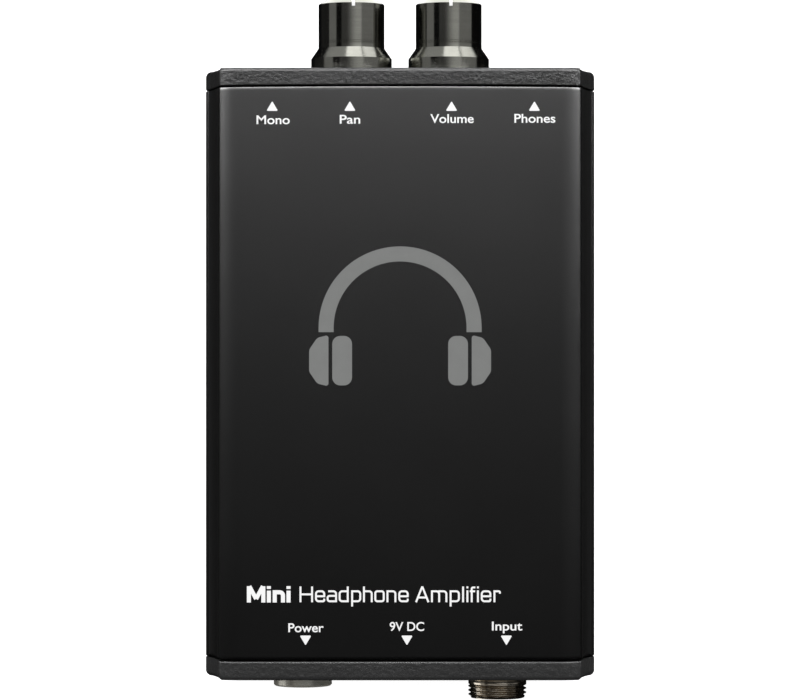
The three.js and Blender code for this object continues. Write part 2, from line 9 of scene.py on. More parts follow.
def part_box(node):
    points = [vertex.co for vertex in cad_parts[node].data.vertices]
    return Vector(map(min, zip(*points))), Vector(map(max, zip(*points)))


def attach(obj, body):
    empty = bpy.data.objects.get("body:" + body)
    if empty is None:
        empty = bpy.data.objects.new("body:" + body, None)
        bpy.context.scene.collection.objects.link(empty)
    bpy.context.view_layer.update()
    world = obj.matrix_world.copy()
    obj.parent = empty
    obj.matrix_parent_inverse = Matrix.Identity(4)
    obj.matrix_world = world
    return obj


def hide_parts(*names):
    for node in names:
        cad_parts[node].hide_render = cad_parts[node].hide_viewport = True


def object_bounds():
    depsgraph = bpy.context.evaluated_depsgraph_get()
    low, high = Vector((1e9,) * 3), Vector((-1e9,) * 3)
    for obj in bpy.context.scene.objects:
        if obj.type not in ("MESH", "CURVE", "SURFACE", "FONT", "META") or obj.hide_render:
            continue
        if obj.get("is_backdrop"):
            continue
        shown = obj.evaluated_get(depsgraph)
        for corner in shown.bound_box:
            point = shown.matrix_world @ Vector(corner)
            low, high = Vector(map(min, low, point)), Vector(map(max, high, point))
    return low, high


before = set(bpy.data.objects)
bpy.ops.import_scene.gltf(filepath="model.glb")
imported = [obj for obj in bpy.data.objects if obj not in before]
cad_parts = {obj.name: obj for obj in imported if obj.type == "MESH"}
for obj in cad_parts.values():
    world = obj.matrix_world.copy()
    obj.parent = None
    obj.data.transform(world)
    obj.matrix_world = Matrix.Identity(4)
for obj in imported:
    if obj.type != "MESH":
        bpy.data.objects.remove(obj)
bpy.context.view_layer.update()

MM = 0.001
rad = math.radians


def box_mm(node):
    lo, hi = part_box(node)
    return [c * 1000 for c in lo], [c * 1000 for c in hi]


# ------------------------------------------------------------ frame positions
COVER_LO, COVER_HI = box_mm("top_cover")
BASE_LO, BASE_HI = box_mm("base_shell")
FCAP_LO, FCAP_HI = box_mm("front_end_cap")
RCAP_LO, RCAP_HI = box_mm("rear_end_cap")
FACE_Z = COVER_HI[2]
HALF_W = BASE_HI[0] + 0.05
BASE_Z = BASE_LO[2]
COVER_Z = COVER_LO[2]
COVER_Y0, COVER_Y1 = COVER_LO[1], COVER_HI[1]
Y_FRONT, Y_REAR = FCAP_HI[1], RCAP_LO[1]


def centre_xz(node):
    lo, hi = box_mm(node)
    return (lo[0] + hi[0]) / 2, (lo[2] + hi[2]) / 2


PAN_X, AXIS_Z = centre_xz("pan_pot_shaft")
VOL_X = centre_xz("volume_pot_shaft")[0]
MONO_X = centre_xz("mono_button")[0]
PHONES_X = centre_xz("phones_jack_nut")[0]
POWER_X = centre_xz("power_button")[0]
DC_X = centre_xz("dc_jack_body")[0]
INPUT_X = centre_xz("input_connector_shell")[0]
SCREWS = [centre_xz("front_cap_screw_%d" % i) for i in (1, 2, 3, 4)]


# -------------------------------------------------------------- mesh building
class Surf:
    """Vertices in millimetres, and faces, gathered ring by ring."""

    def __init__(self):
        self.v = []
        self.f = []

    def ring(self, points):
        start = len(self.v)
        self.v.extend(tuple(p) for p in points)
        return list(range(start, start + len(points)))

    def loft(self, a, b, close=True):
        n = len(a)
        for i in range(n if close else n - 1):
            j = (i + 1) % n
            self.f.append((a[i], a[j], b[j], b[i]))

    def chain(self, rings, close=True, loop=False):
        for a, b in zip(rings, rings[1:]):
            self.loft(a, b, close)
        if loop:
            self.loft(rings[-1], rings[0], close)

    def fan(self, ring, apex):
        k = len(self.v)
        self.v.append(tuple(apex))
        n = len(ring)
        for i in range(n):
            self.f.append((ring[i], ring[(i + 1) % n], k))

    def fill(self, rings, drop=1):
        """A flat face between an outer ring and its holes; drop is the axis that is the same all over it."""
        keep = [i for i in range(3) if i != drop]
        flat = [[Vector((self.v[i][keep[0]], self.v[i][keep[1]], 0.0)) for i in r] for r in rings]
        index = [i for r in rings for i in r]
        for tri in tessellate_polygon(flat):
            self.f.append(tuple(index[i] for i in tri))

    def add(self, other):
        k = len(self.v)
        self.v.extend(other.v)
        self.f.extend(tuple(i + k for i in face) for face in other.f)
        return self


def circle(r, y, cx=0.0, cz=0.0, n=64, phase=0.0):
    """Points of a circle about the Y axis."""
    return [(cx + r * math.sin(2 * math.pi * (i + phase) / n), y, cz + r * math.cos(2 * math.pi * (i + phase) / n)) for i in range(n)]


def rounded(points, steps=4):
    """A polyline of (a, b, radius) with each corner turned to an arc of that radius."""
    out = []
    n = len(points)
    for i, p in enumerate(points):
        r = p[2] if len(p) > 2 else 0.0
        if r <= 0 or i in (0, n - 1):
            out.append((p[0], p[1]))
            continue
        q, s = points[i - 1], points[i + 1]
        u = Vector((q[0] - p[0], q[1] - p[1]))
        w = Vector((s[0] - p[0], s[1] - p[1]))
        lu, lw = u.length, w.length
        u.normalize()
        w.normalize()
        half = math.acos(max(-1, min(1, u.dot(w)))) / 2
        d = min(r / math.tan(half), 0.48 * lu, 0.48 * lw)
        r = d * math.tan(half)
        bis = (u + w).normalized()
        c = Vector((p[0], p[1])) + bis * (r / math.sin(half))
        a0 = Vector((p[0], p[1])) + u * d - c
        a1 = Vector((p[0], p[1])) + w * d - c
        t0, t1 = math.atan2(a0.y, a0.x), math.atan2(a1.y, a1.x)
        dt = (t1 - t0 + math.pi) % (2 * math.pi) - math.pi
        for k in range(steps + 1):
            t = t0 + dt * k / steps
            out.append((c.x + r * math.cos(t), c.y + r * math.sin(t)))
    return out


def turned(profile, cx=0.0, cz=0.0, n=96, loop=False):
    """A turned surface about a Y axis at (cx, cz), from (radius, y) pairs. A radius of 0 closes an end."""
    s = Surf()
    rings = []
    for r, y in profile:
        rings.append(None if r < 1e-6 else s.ring(circle(r, y, cx, cz, n)))
    pairs = list(zip(range(len(profile)), range(1, len(profile))))
    if loop:
        pairs.append((len(profile) - 1, 0))
    for i, j in pairs:
        a, b = rings[i], rings[j]
        if a is None and b is None:
            continue
        if a is None:
            s.fan(b, (cx, profile[i][1], cz))
        elif b is None:
            s.fan(a, (cx, profile[j][1], cz))
        else:
            s.loft(a, b)
    return s


def mesh_of(surf, name):
    me = bpy.data.meshes.new(name)
    me.from_pydata([(x * MM, y * MM, z * MM) for x, y, z in surf.v], [], surf.f)
    bm = bmesh.new()
    bm.from_mesh(me)
    bmesh.ops.remove_doubles(bm, verts=bm.verts, dist=1e-7)
    bmesh.ops.recalc_face_normals(bm, faces=bm.faces)
    bm.to_mesh(me)
    bm.free()
    return me


def crisp(me, angle):
    for p in me.polygons:
        p.use_smooth = True
    me.set_sharp_from_angle(angle=rad(angle))


def finish_piece(ob, mat, body, replaces=(), angle=32, weighted=True, bevel=0.0):
    me = ob.data
    if not isinstance(me, bpy.types.Mesh):
        raise ValueError(ob.name)
    me.materials.clear()
    me.materials.append(mat)
    crisp(me, angle)
    if bevel:
        b = ob.modifiers.new("edge", "BEVEL")
        b.width = bevel * MM
        b.segments = 2
        b.limit_method = "ANGLE"
        b.angle_limit = rad(40)
        b.use_clamp_overlap = True
    if weighted:
        w = ob.modifiers.new("normals", "WEIGHTED_NORMAL")
        w.keep_sharp = True
        w.weight = 80
    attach(ob, body)
    if replaces:
        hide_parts(*replaces)
    return ob


def piece(name, surf, mat, body, replaces=(), angle=32, weighted=True, bevel=0.0):
    ob = bpy.data.objects.new(name, mesh_of(surf, name))
    bpy.context.scene.collection.objects.link(ob)
    return finish_piece(ob, mat, body, replaces, angle, weighted, bevel)


def carve(ob, *cutters, op="DIFFERENCE"):
    """Applies exact booleans to ob's mesh and throws the cutters away."""
    for c in cutters:
        m = ob.modifiers.new("cut", "BOOLEAN")
        m.operation = op
        m.solver = "EXACT"
        m.object = c
    dg = bpy.context.evaluated_depsgraph_get()
    dg.update()
    me = bpy.data.meshes.new_from_object(ob.evaluated_get(dg))
    ob.modifiers.clear()
    ob.data = me
    bm = bmesh.new()
    bm.from_mesh(me)
    bmesh.ops.remove_doubles(bm, verts=bm.verts, dist=1e-7)
    bmesh.ops.dissolve_degenerate(bm, edges=bm.edges, dist=1e-7)
    bm.to_mesh(me)
    bm.free()
    for c in cutters:
        bpy.data.objects.remove(c)
    return ob


def raw(name, surf):
    ob = bpy.data.objects.new(name, mesh_of(surf, name))
    bpy.context.scene.collection.objects.link(ob)
    return ob


def prism(outline, lo, hi, axis):
    """A closed prism of an outline of (a, b) pairs; axis 1 puts them in X and Z, axis 2 in X and Y, axis 0 in Y and Z."""
    s = Surf()

    def at(a, b, c):
        return (c, a, b) if axis == 0 else (a, c, b) if axis == 1 else (a, b, c)

    r0 = s.ring([at(a, b, lo) for a, b in outline])
    r1 = s.ring([at(a, b, hi) for a, b in outline])
    s.loft(r0, r1)
    s.fill([r0], drop=axis)
    s.fill([r1], drop=axis)
    return s


def round_rect(x0, x1, y0, y1, r, n=5):
    pts = []
    for cx, cy, a0 in ((x1 - r, y1 - r, 0), (x0 + r, y1 - r, 90), (x0 + r, y0 + r, 180), (x1 - r, y0 + r, 270)):
        for i in range(n + 1):
            a = rad(a0 + 90 * i / n)
            pts.append((cx + r * math.cos(a), cy + r * math.sin(a)))
    return pts


def soft_prism(outline, lo, hi, axis, edge, steps=3, lo_edge=None):
    """A prism whose two end rims are rounded by edge."""
    s = Surf()
    normals = outline_normals(outline)

    def at(a, b, c):
        return (c, a, b) if axis == 0 else (a, c, b) if axis == 1 else (a, b, c)

    e0 = edge if lo_edge is None else lo_edge
    rings = []
    for k in range(steps + 1):
        p = math.pi / 2 * (1 - k / steps)
        rings.append(s.ring([at(a - nx * e0 * (1 - math.cos(p)), b - ny * e0 * (1 - math.cos(p)), lo + e0 * (1 - math.sin(p)))
                             for (a, b), (nx, ny) in zip(outline, normals)]))
    for k in range(steps + 1):
        p = math.pi / 2 * k / steps
        rings.append(s.ring([at(a - nx * edge * (1 - math.cos(p)), b - ny * edge * (1 - math.cos(p)), hi - edge * (1 - math.sin(p)))
                             for (a, b), (nx, ny) in zip(outline, normals)]))
    s.chain(rings)
    s.fill([rings[0]], drop=axis)
    s.fill([rings[-1]], drop=axis)
    return s


def outline_normals(outline):
    """Outward unit normals at the corners of a closed outline, lengthened at a mitre."""
    n = len(outline)
    area = sum(outline[i][0] * outline[(i + 1) % n][1] - outline[(i + 1) % n][0] * outline[i][1] for i in range(n))
    sign = 1 if area > 0 else -1
    out = []
    for i in range(n):
        p, q, r = outline[i - 1], outline[i], outline[(i + 1) % n]
        e0 = Vector((q[0] - p[0], q[1] - p[1]))
        e1 = Vector((r[0] - q[0], r[1] - q[1]))
        if e0.length < 1e-9:
            e0 = e1
        if e1.length < 1e-9:
            e1 = e0
        e0.normalize()
        e1.normalize()
        n0 = Vector((e0.y, -e0.x)) * sign
        n1 = Vector((e1.y, -e1.x)) * sign
        m = n0 + n1
        if m.length < 1e-6:
            m = n0
        m.normalize()
        m = m / max(0.5, m.dot(n0))
        out.append((m.x, m.y))
    return out


# ------------------------------------------------------------------ materials
def material(name):
    m = bpy.data.materials.new(name)
    m.use_nodes = True
    nt = m.node_tree
    nt.nodes.clear()
    out = nt.nodes.new("ShaderNodeOutputMaterial")
    bsdf = nt.nodes.new("ShaderNodeBsdfPrincipled")
    nt.links.new(bsdf.outputs[0], out.inputs[0])
    return m, nt, bsdf


def node(nt, kind, **settings):
    n = nt.nodes.new(kind)
    for k, v in settings.items():
        if hasattr(n, k):
            setattr(n, k, v)
        else:
            n.inputs[k.replace("_", " ")].default_value = v
    return n


def coords(nt, scale=(1, 1, 1), rotation=(0, 0, 0)):
    tc = nt.nodes.new("ShaderNodeTexCoord")
    mp = nt.nodes.new("ShaderNodeMapping")
    mp.inputs["Scale"].default_value = scale
    mp.inputs["Rotation"].default_value = rotation
    nt.links.new(tc.outputs["Object"], mp.inputs["Vector"])
    return mp.outputs["Vector"]


def noise(nt, vec, scale, detail=4.0, rough=0.55, distort=0.0):
    n = nt.nodes.new("ShaderNodeTexNoise")
    n.inputs["Scale"].default_value = scale
    n.inputs["Detail"].default_value = detail
    n.inputs["Roughness"].default_value = rough
    n.inputs["Distortion"].default_value = distort
    nt.links.new(vec, n.inputs["Vector"])
    return n.outputs["Fac"]


def span(nt, fac, a0, a1, b0, b1):
    n = nt.nodes.new("ShaderNodeMapRange")
    n.inputs["From Min"].default_value = a0
    n.inputs["From Max"].default_value = a1
    n.inputs["To Min"].default_value = b0
    n.inputs["To Max"].default_value = b1
    nt.links.new(fac, n.inputs["Value"])
    return n.outputs["Result"]


def blend(nt, fac, c0, c1):
    n = nt.nodes.new("ShaderNodeMix")
    n.data_type = "RGBA"
    nt.links.new(fac, n.inputs["Factor"])
    a = [s for s in n.inputs if s.name == "A" and s.type == "RGBA"][0]
    b = [s for s in n.inputs if s.name == "B" and s.type == "RGBA"][0]
    for sock, c in ((a, c0), (b, c1)):
        if hasattr(c, "is_output") or isinstance(c, bpy.types.NodeSocket):
            nt.links.new(c, sock)
        else:
            sock.default_value = (*c, 1.0)
    return [s for s in n.outputs if s.type == "RGBA"][0]


def maths(nt, op, a, b=None):
    n = nt.nodes.new("ShaderNodeMath")
    n.operation = op
    for i, v in enumerate((a, b)):
        if v is None:
            continue
        if isinstance(v, bpy.types.NodeSocket):
            nt.links.new(v, n.inputs[i])
        else:
            n.inputs[i].default_value = v
    return n.outputs[0]


def bump(nt, bsdf, height, strength, distance, normal=None):
    n = nt.nodes.new("ShaderNodeBump")
    n.inputs["Strength"].default_value = strength
    n.inputs["Distance"].default_value = distance
    nt.links.new(height, n.inputs["Height"])
    if normal is not None:
        nt.links.new(normal, n.inputs["Normal"])
    if bsdf is not None:
        nt.links.new(n.outputs["Normal"], bsdf.inputs["Normal"])
    return n.outputs["Normal"]


def satin_black(name, base, rough, grain, grain_size, tint=(1.0, 1.0, 1.02), fleck=0.0, spec=0.5, coat=0.0):
    """A dark powder-coated or anodised metal: fine orange peel, cloudy gloss and a trace of dust."""
    m, nt, b = material(name)
    v = coords(nt)
    cloud = noise(nt, v, 45, 5, 0.6)
    fine = noise(nt, v, 1000.0 / grain_size, 3, 0.6)
    c0 = tuple(base * t * 0.82 for t in tint)
    c1 = tuple(base * t * 1.25 for t in tint)
    col = blend(nt, cloud, c0, c1)
    if fleck:
        dots = nt.nodes.new("ShaderNodeTexVoronoi")
        dots.inputs["Scale"].default_value = 1000.0 / (grain_size * 1.7)
        nt.links.new(v, dots.inputs["Vector"])
        spot = span(nt, dots.outputs["Distance"], 0.05, 0.35, fleck, 0.0)
        col = blend(nt, spot, col, tuple(base * 5 for _ in range(3)))
    nt.links.new(col, b.inputs["Base Color"])
    r = maths(nt, "ADD", span(nt, cloud, 0.3, 0.7, rough - 0.006, rough + 0.006), span(nt, fine, 0.3, 0.7, -0.02, 0.02))
    nt.links.new(r, b.inputs["Roughness"])
    b.inputs["Specular IOR Level"].default_value = spec
    if coat:
        b.inputs["Coat Weight"].default_value = coat
        b.inputs["Coat Roughness"].default_value = 0.25
    n1 = bump(nt, None, fine, grain, grain_size * 0.06 * MM)
    soft = noise(nt, v, 1000.0 / (grain_size * 6), 2, 0.5)
    bump(nt, b, soft, grain * 0.6, grain_size * 0.2 * MM, n1)
    return m


def leathery_black(name, base, rough, size, strength, spec=0.5):
    """The cast caps: a wrinkled powder coat."""
    m, nt, b = material(name)
    v = coords(nt)
    cells = nt.nodes.new("ShaderNodeTexVoronoi")
    cells.feature = "SMOOTH_F1"
    cells.inputs["Scale"].default_value = 1000.0 / size
    cells.inputs["Smoothness"].default_value = 0.5
    nt.links.new(v, cells.inputs["Vector"])
    mid = noise(nt, v, 1000.0 / (size * 1.1), 2, 0.5)
    fine = noise(nt, v, 1000.0 / (size * 0.4), 3, 0.6)
    h = maths(nt, "ADD", maths(nt, "MULTIPLY", cells.outputs["Distance"], 0.5), maths(nt, "ADD", maths(nt, "MULTIPLY", mid, 1.0), maths(nt, "MULTIPLY", fine, 0.5)))
    cloud = noise(nt, v, 60, 4, 0.6)
    col = blend(nt, cloud, tuple(base * 0.85 for _ in range(3)), (base * 1.2, base * 1.2, base * 1.22))
    nt.links.new(col, b.inputs["Base Color"])
    r = maths(nt, "ADD", span(nt, cloud, 0.3, 0.7, rough - 0.03, rough + 0.03), span(nt, fine, 0.3, 0.7, 0.06, -0.06))
    nt.links.new(r, b.inputs["Roughness"])
    b.inputs["Specular IOR Level"].default_value = spec
    bump(nt, b, h, strength, size * 0.16 * MM)
    return m


def turned_metal(name, base, rough, ring=0.085, aniso=0.6, tint2=None, spots=0.0, axis_lines=True, strength=0.25):
    """Lathe-turned metal: fine rings about the Y axis and a little cloudiness."""
    m, nt, b = material(name)
    v = coords(nt)
    b.inputs["Metallic"].default_value = 1.0
    cloud = noise(nt, v, 120, 4, 0.6)
    c0 = base
    c1 = tint2 or tuple(c * 1.18 for c in base)
    col = blend(nt, span(nt, cloud, 0.35, 0.65, 0, 1), c0, c1)
    if spots:
        sp = noise(nt, v, 420, 3, 0.7)
        col = blend(nt, span(nt, sp, 0.6, 0.75, 0.0, spots), col, tuple(c * 0.35 for c in base))
    nt.links.new(col, b.inputs["Base Color"])
    lines = nt.nodes.new("ShaderNodeTexNoise")
    lines.inputs["Scale"].default_value = 1000.0
    lines.inputs["Detail"].default_value = 3.0
    lines.inputs["Roughness"].default_value = 0.7
    lv = coords(nt, (0.02, 1.0 / ring * 0.5, 0.02) if axis_lines else (0.5 / ring, 0.5 / ring, 0.5 / ring))
    nt.links.new(lv, lines.inputs["Vector"])
    r = maths(nt, "ADD", span(nt, cloud, 0.3, 0.7, rough - 0.02, rough + 0.03), span(nt, lines.outputs["Fac"], 0.3, 0.7, -0.05, 0.06))
    nt.links.new(r, b.inputs["Roughness"])
    b.inputs["Anisotropic"].default_value = aniso
    tan = nt.nodes.new("ShaderNodeTangent")
    tan.direction_type = "RADIAL"
    tan.axis = "Y"
    b.inputs["Anisotropic Rotation"].default_value = 0.25
    nt.links.new(tan.outputs[0], b.inputs["Tangent"])
    bump(nt, b, lines.outputs["Fac"], strength, 0.004 * MM)
    return m


def plain_metal(name, base, rough, scale=0.35, strength=0.2, dirt=0.3):
    m, nt, b = material(name)
    v = coords(nt)
    b.inputs["Metallic"].default_value = 1.0
    cloud = noise(nt, v, 150, 4, 0.6)
    fine = noise(nt, v, 1000.0 / scale, 3, 0.7)
    col = blend(nt, span(nt, cloud, 0.35, 0.7, 0, 1), base, tuple(c * (1 - dirt) for c in base))
    nt.links.new(col, b.inputs["Base Color"])
    nt.links.new(maths(nt, "ADD", span(nt, cloud, 0.3, 0.7, rough - 0.04, rough + 0.06), span(nt, fine, 0.3, 0.7, -0.04, 0.04)), b.inputs["Roughness"])
    bump(nt, b, fine, strength, scale * 0.03 * MM)
    return m


def plastic(name, base, rough, grain=0.18, strength=0.35, spec=0.45, mottled=0.25):
    m, nt, b = material(name)
    v = coords(nt)
    cloud = noise(nt, v, 90, 4, 0.6)
    fine = noise(nt, v, 1000.0 / grain, 3, 0.6)
    col = blend(nt, cloud, tuple(c * (1 - mottled) for c in base), tuple(min(1, c * (1 + mottled)) for c in base))
    nt.links.new(col, b.inputs["Base Color"])
    nt.links.new(maths(nt, "ADD", span(nt, cloud, 0.3, 0.7, rough - 0.03, rough + 0.04), span(nt, fine, 0.3, 0.7, -0.05, 0.05)), b.inputs["Roughness"])
    b.inputs["Specular IOR Level"].default_value = spec
    bump(nt, b, fine, strength, grain * 0.08 * MM)
    return m


def ink(name, base, rough=0.5):
    """Silk-screened ink: slightly uneven cover."""
    m, nt, b = material(name)
    v = coords(nt)
    weave = nt.nodes.new("ShaderNodeTexChecker")
    weave.inputs["Scale"].default_value = 9000.0
    nt.links.new(v, weave.inputs["Vector"])
    cloud = noise(nt, v, 260, 4, 0.65)
    col = blend(nt, span(nt, cloud, 0.3, 0.75, 0, 1), base, tuple(c * 0.93 for c in base))
    nt.links.new(col, b.inputs["Base Color"])
    nt.links.new(span(nt, cloud, 0.3, 0.7, rough - 0.06, rough + 0.08), b.inputs["Roughness"])
    b.inputs["Specular IOR Level"].default_value = 0.3
    bump(nt, b, cloud, 0.25, 0.01 * MM)
    return m


def circuit(name):
    """Solder mask over copper tracks, with bare pads."""
    m, nt, b = material(name)
    v = coords(nt)
    brick = nt.nodes.new("ShaderNodeTexBrick")
    brick.inputs["Scale"].default_value = 260.0
    brick.inputs["Mortar Size"].default_value = 0.025
    brick.inputs["Color1"].default_value = (0.008, 0.10, 0.045, 1)
    brick.inputs["Color2"].default_value = (0.012, 0.14, 0.06, 1)
    brick.inputs["Mortar"].default_value = (0.03, 0.26, 0.10, 1)
    nt.links.new(v, brick.inputs["Vector"])
    pads = nt.nodes.new("ShaderNodeTexVoronoi")
    pads.inputs["Scale"].default_value = 393.7
    pads.inputs["Randomness"].default_value = 0.0
    nt.links.new(v, pads.inputs["Vector"])
    pick = noise(nt, v, 130, 2, 0.5)
    dot = maths(nt, "MULTIPLY", span(nt, pads.outputs["Distance"], 0.20, 0.24, 1, 0), span(nt, pick, 0.55, 0.56, 0, 1))
    col = blend(nt, dot, brick.outputs["Color"], (0.72, 0.68, 0.55))
    nt.links.new(col, b.inputs["Base Color"])
    nt.links.new(dot, b.inputs["Metallic"])
    nt.links.new(span(nt, dot, 0, 1, 0.28, 0.4), b.inputs["Roughness"])
    h = maths(nt, "ADD", brick.outputs["Fac"], dot)
    bump(nt, b, h, 0.4, 0.02 * MM)
    return m


def striped(name, c0, c1, count, axis, rough=0.5):
    """Parallel coloured bands, such as a ribbon cable's wires."""
    m, nt, b = material(name)
    v = coords(nt)
    sep = nt.nodes.new("ShaderNodeSeparateXYZ")
    nt.links.new(v, sep.inputs[0])
    x = maths(nt, "MULTIPLY", sep.outputs[axis], count)
    wave = maths(nt, "SINE", x)
    f = span(nt, wave, -0.9, 0.2, 0, 1)
    col = blend(nt, f, c0, c1)
    nt.links.new(col, b.inputs["Base Color"])
    cloud = noise(nt, v, 200, 3, 0.6)
    nt.links.new(span(nt, cloud, 0.3, 0.7, rough - 0.05, rough + 0.05), b.inputs["Roughness"])
    bump(nt, b, wave, 0.6, 0.12 * MM)
    return m


M_CASE = satin_black("case_satin_black", 0.0010, 0.30, 0.16, 0.16, spec=0.28)
M_CAP_F = leathery_black("cap_wrinkle_black", 0.013, 0.36, 0.8, 0.7, spec=0.115)
M_CAP_R = leathery_black("cap_fine_black", 0.018, 0.40, 1.0, 0.65, spec=0.3)
M_KNOB = turned_metal("knob_black_chrome", (0.29, 0.29, 0.262), 0.15, ring=0.28, aniso=0.7, strength=0.5)
M_NICKEL = turned_metal("connector_nickel", (0.60, 0.55, 0.47), 0.17, ring=0.3, aniso=0.3, tint2=(0.44, 0.37, 0.28), spots=0.6, strength=0.12)
M_BUTTON = turned_metal("button_steel", (0.30, 0.305, 0.275), 0.26, ring=0.10, aniso=0.4, tint2=(0.34, 0.32, 0.27), spots=0.3)
M_BUTTON.node_tree.nodes["Principled BSDF"].inputs["Metallic"].default_value = 0.5
M_STEEL = plain_metal("fastener_steel", (0.55, 0.55, 0.56), 0.32)
M_SCREW = plain_metal("screw_black_oxide", (0.075, 0.075, 0.08), 0.38, dirt=0.4)
M_BRASS = plain_metal("contact_gold", (0.83, 0.62, 0.28), 0.22, dirt=0.15)
M_PLASTIC = plastic("black_plastic", (0.012, 0.012, 0.013), 0.5)
M_INSERT = plastic("connector_insulator", (0.016, 0.016, 0.017), 0.42, 0.25)
M_DOOR = plastic("battery_door_plastic", (0.013, 0.013, 0.014), 0.55, 0.32, 0.5)
M_RUBBER = plastic("foot_rubber", (0.016, 0.016, 0.016), 0.78, 0.28, 0.6, 0.3)
M_WHITE = ink("print_white", (0.93, 0.93, 0.93))
M_GREY = ink("print_grey", (0.198, 0.202, 0.198), 0.55)
M_POINTER = ink("pointer_white", (0.95, 0.95, 0.94))
M_BOARD = circuit("circuit_board")
M_RIBBON = striped("ribbon_cable", (0.30, 0.31, 0.32), (0.55, 0.56, 0.57), 2 * math.pi / (1.27 * MM), 0)
M_CAN = striped("capacitor_sleeve", (0.012, 0.016, 0.03), (0.02, 0.026, 0.05), 2 * math.pi / (4.0 * MM), 0, 0.35)
M_CHIP = plastic("chip_epoxy", (0.014, 0.014, 0.015), 0.6, 0.12, 0.5)
M_CELL = striped("battery_jacket", (0.02, 0.021, 0.024), (0.05, 0.052, 0.056), 2 * math.pi / (24.0 * MM), 0, 0.3)


# ------------------------------------------------------------- case cross section
LEAN = 7.0
CROWN_R = 12.0     # gentle roll of the face into its long edges
EDGE_R = 0.9
T1 = 20.0
FLAT = 34.03       # half width of the flat part of the face


def shoulder(steps=(10, 14)):
    """From the flat face round to the start of the leaning side, as (x, z) from the top down."""
    pts = [(FLAT + CROWN_R * math.sin(rad(T1 * i / steps[0])), FACE_Z - CROWN_R * (1 - math.cos(rad(T1 * i / steps[0])))) for i in range(steps[0] + 1)]
    x1, z1 = pts[-1]
    a1 = 90 - LEAN
    cx, cz = x1 - EDGE_R * math.sin(rad(T1)), z1 - EDGE_R * math.cos(rad(T1))
    for i in range(1, steps[1] + 1):
        a = rad(T1 + (a1 - T1) * i / steps[1])
        pts.append((cx + EDGE_R * math.sin(a), cz + EDGE_R * math.cos(a)))
    return pts


SHOULDER = shoulder()
SX, SZ = SHOULDER[-1]
WALL_END = 26.2    # where the bowed wall has its flattest lean
L0, L1 = math.tan(rad(LEAN)), math.tan(rad(20.2))


def side_x(z):
    """The long walls are slightly bowed: they lean more towards the parting line."""
    t = (SZ - z) / (SZ - WALL_END)
    return SX + (SZ - WALL_END) * (L0 * t + 0.5 * (L1 - L0) * t * t)


def heel(bottom, r=3.0, lean=11.0, knee=20.0, steps=12):
    """From the vertical side at the knee down round to the flat underside."""
    c = bottom + r
    x0 = HALF_W - (knee - (c - r * math.sin(rad(lean)))) * math.tan(rad(lean))
    cx = x0 - r * math.cos(rad(lean))
    pts = [(HALF_W, knee)]
    for i in range(steps + 1):
        a = rad(-lean - (90 - lean) * i / steps)
        pts.append((cx + r * math.cos(a), c + r * math.sin(a)))
    return pts, cx


def inset_ring(outline, normals, ds, phi, y_end, sign, warp=None, flat=1.0):
    """Ring of an end's rounding: phi 0 is on the wall and 90 on the end face; ds is each point's own radius."""
    pts = []
    for (x, z), (nx, nz), d in zip(outline, normals, ds):
        k = flat * d * (1 - math.cos(phi))
        y = y_end - sign * d * (1 - math.sin(phi))
        px, pz = x - nx * k, z - nz * k
        if warp:
            y += warp(px, pz)
        pts.append((px, y, pz))
    return pts


def flat_points(x0, x1, n):
    return [x0 + (x1 - x0) * i / n for i in range(n + 1)]


BOW = 0.26
SEAM = -0.12        # the front seam is drawn a little wider than in the frame


def front_bow(x, z):
    """The front seam is very slightly arched."""
    return -BOW * min(1.0, abs(x) / HALF_W) ** 2


# ----------------------------------------------------------------- top cover
def build_cover():
    wall = 1.6
    half_out = [(x, FACE_Z) for x in flat_points(0, FLAT, 14)][:-1] + SHOULDER
    half_out += [(side_x(z), z) for z in (35.5, 34.0, 32.5, 31.0, 29.5, 28.0, 27.0, COVER_Z + 0.08)] + [(side_x(COVER_Z) - 0.1, COVER_Z)]
    half_in = [(side_x(COVER_Z) - wall, COVER_Z), (39.2, 29.3), (side_x(35.2) - wall - 0.1, 35.2)]
    half_in += [(37.2, FACE_Z - wall - 0.25), (36.2, FACE_Z - wall)]
    half_in += [(x, FACE_Z - wall) for x in flat_points(34.0, 0, 6)]
    # the ring is an outer run and an inner run
    top = mirrored_open(half_out)
    inner = mirrored_open(list(reversed(half_in)))
    loop = top + list(reversed(inner))
    normals = outline_normals(loop)
    ds = []
    n_out = len(top)
    for i, (x, z) in enumerate(loop):
        if i < n_out:
            ds.append(0.8 if z > COVER_Z + 0.5 else 0.2)
        else:
            ds.append(0.25)
    s = Surf()
    rings = []
    steps = 6
    for k in range(steps + 1):
        phi = math.pi / 2 * (1 - k / steps)
        rings.append(s.ring(inset_ring(loop, normals, ds, phi, COVER_Y0, -1)))
    for y in (-40.0, -15.0, 10.0, 35.0):
        rings.append(s.ring([(x, y, z) for x, z in loop]))
    for k in range(steps + 1):
        phi = math.pi / 2 * k / steps
        rings.append(s.ring(inset_ring(loop, normals, ds, phi, COVER_Y1 + SEAM, 1, front_bow, 0.09)))
    s.chain(rings)
    s.fill([rings[0]])
    s.fill([rings[-1]])
    return s


def mirrored_open(half):
    """A run from the left end over the centre line to the right end, from its right half given centre first."""
    left = [(-x, z) for x, z in reversed(half)]
    if abs(half[0][0]) < 1e-9:
        left = left[:-1]
    return left + half


def merge_line(points):
    out = [points[0]]
    for p in points[1:]:
        if math.hypot(p[0] - out[-1][0], p[1] - out[-1][1]) > 1e-6:
            out.append(p)
    return out


piece("top_cover_shell", build_cover(), M_CASE, "case", ["top_cover"], angle=50)


# ---------------------------------------------------------------- base shell
HEEL, LOW_CX = heel(BASE_Z)


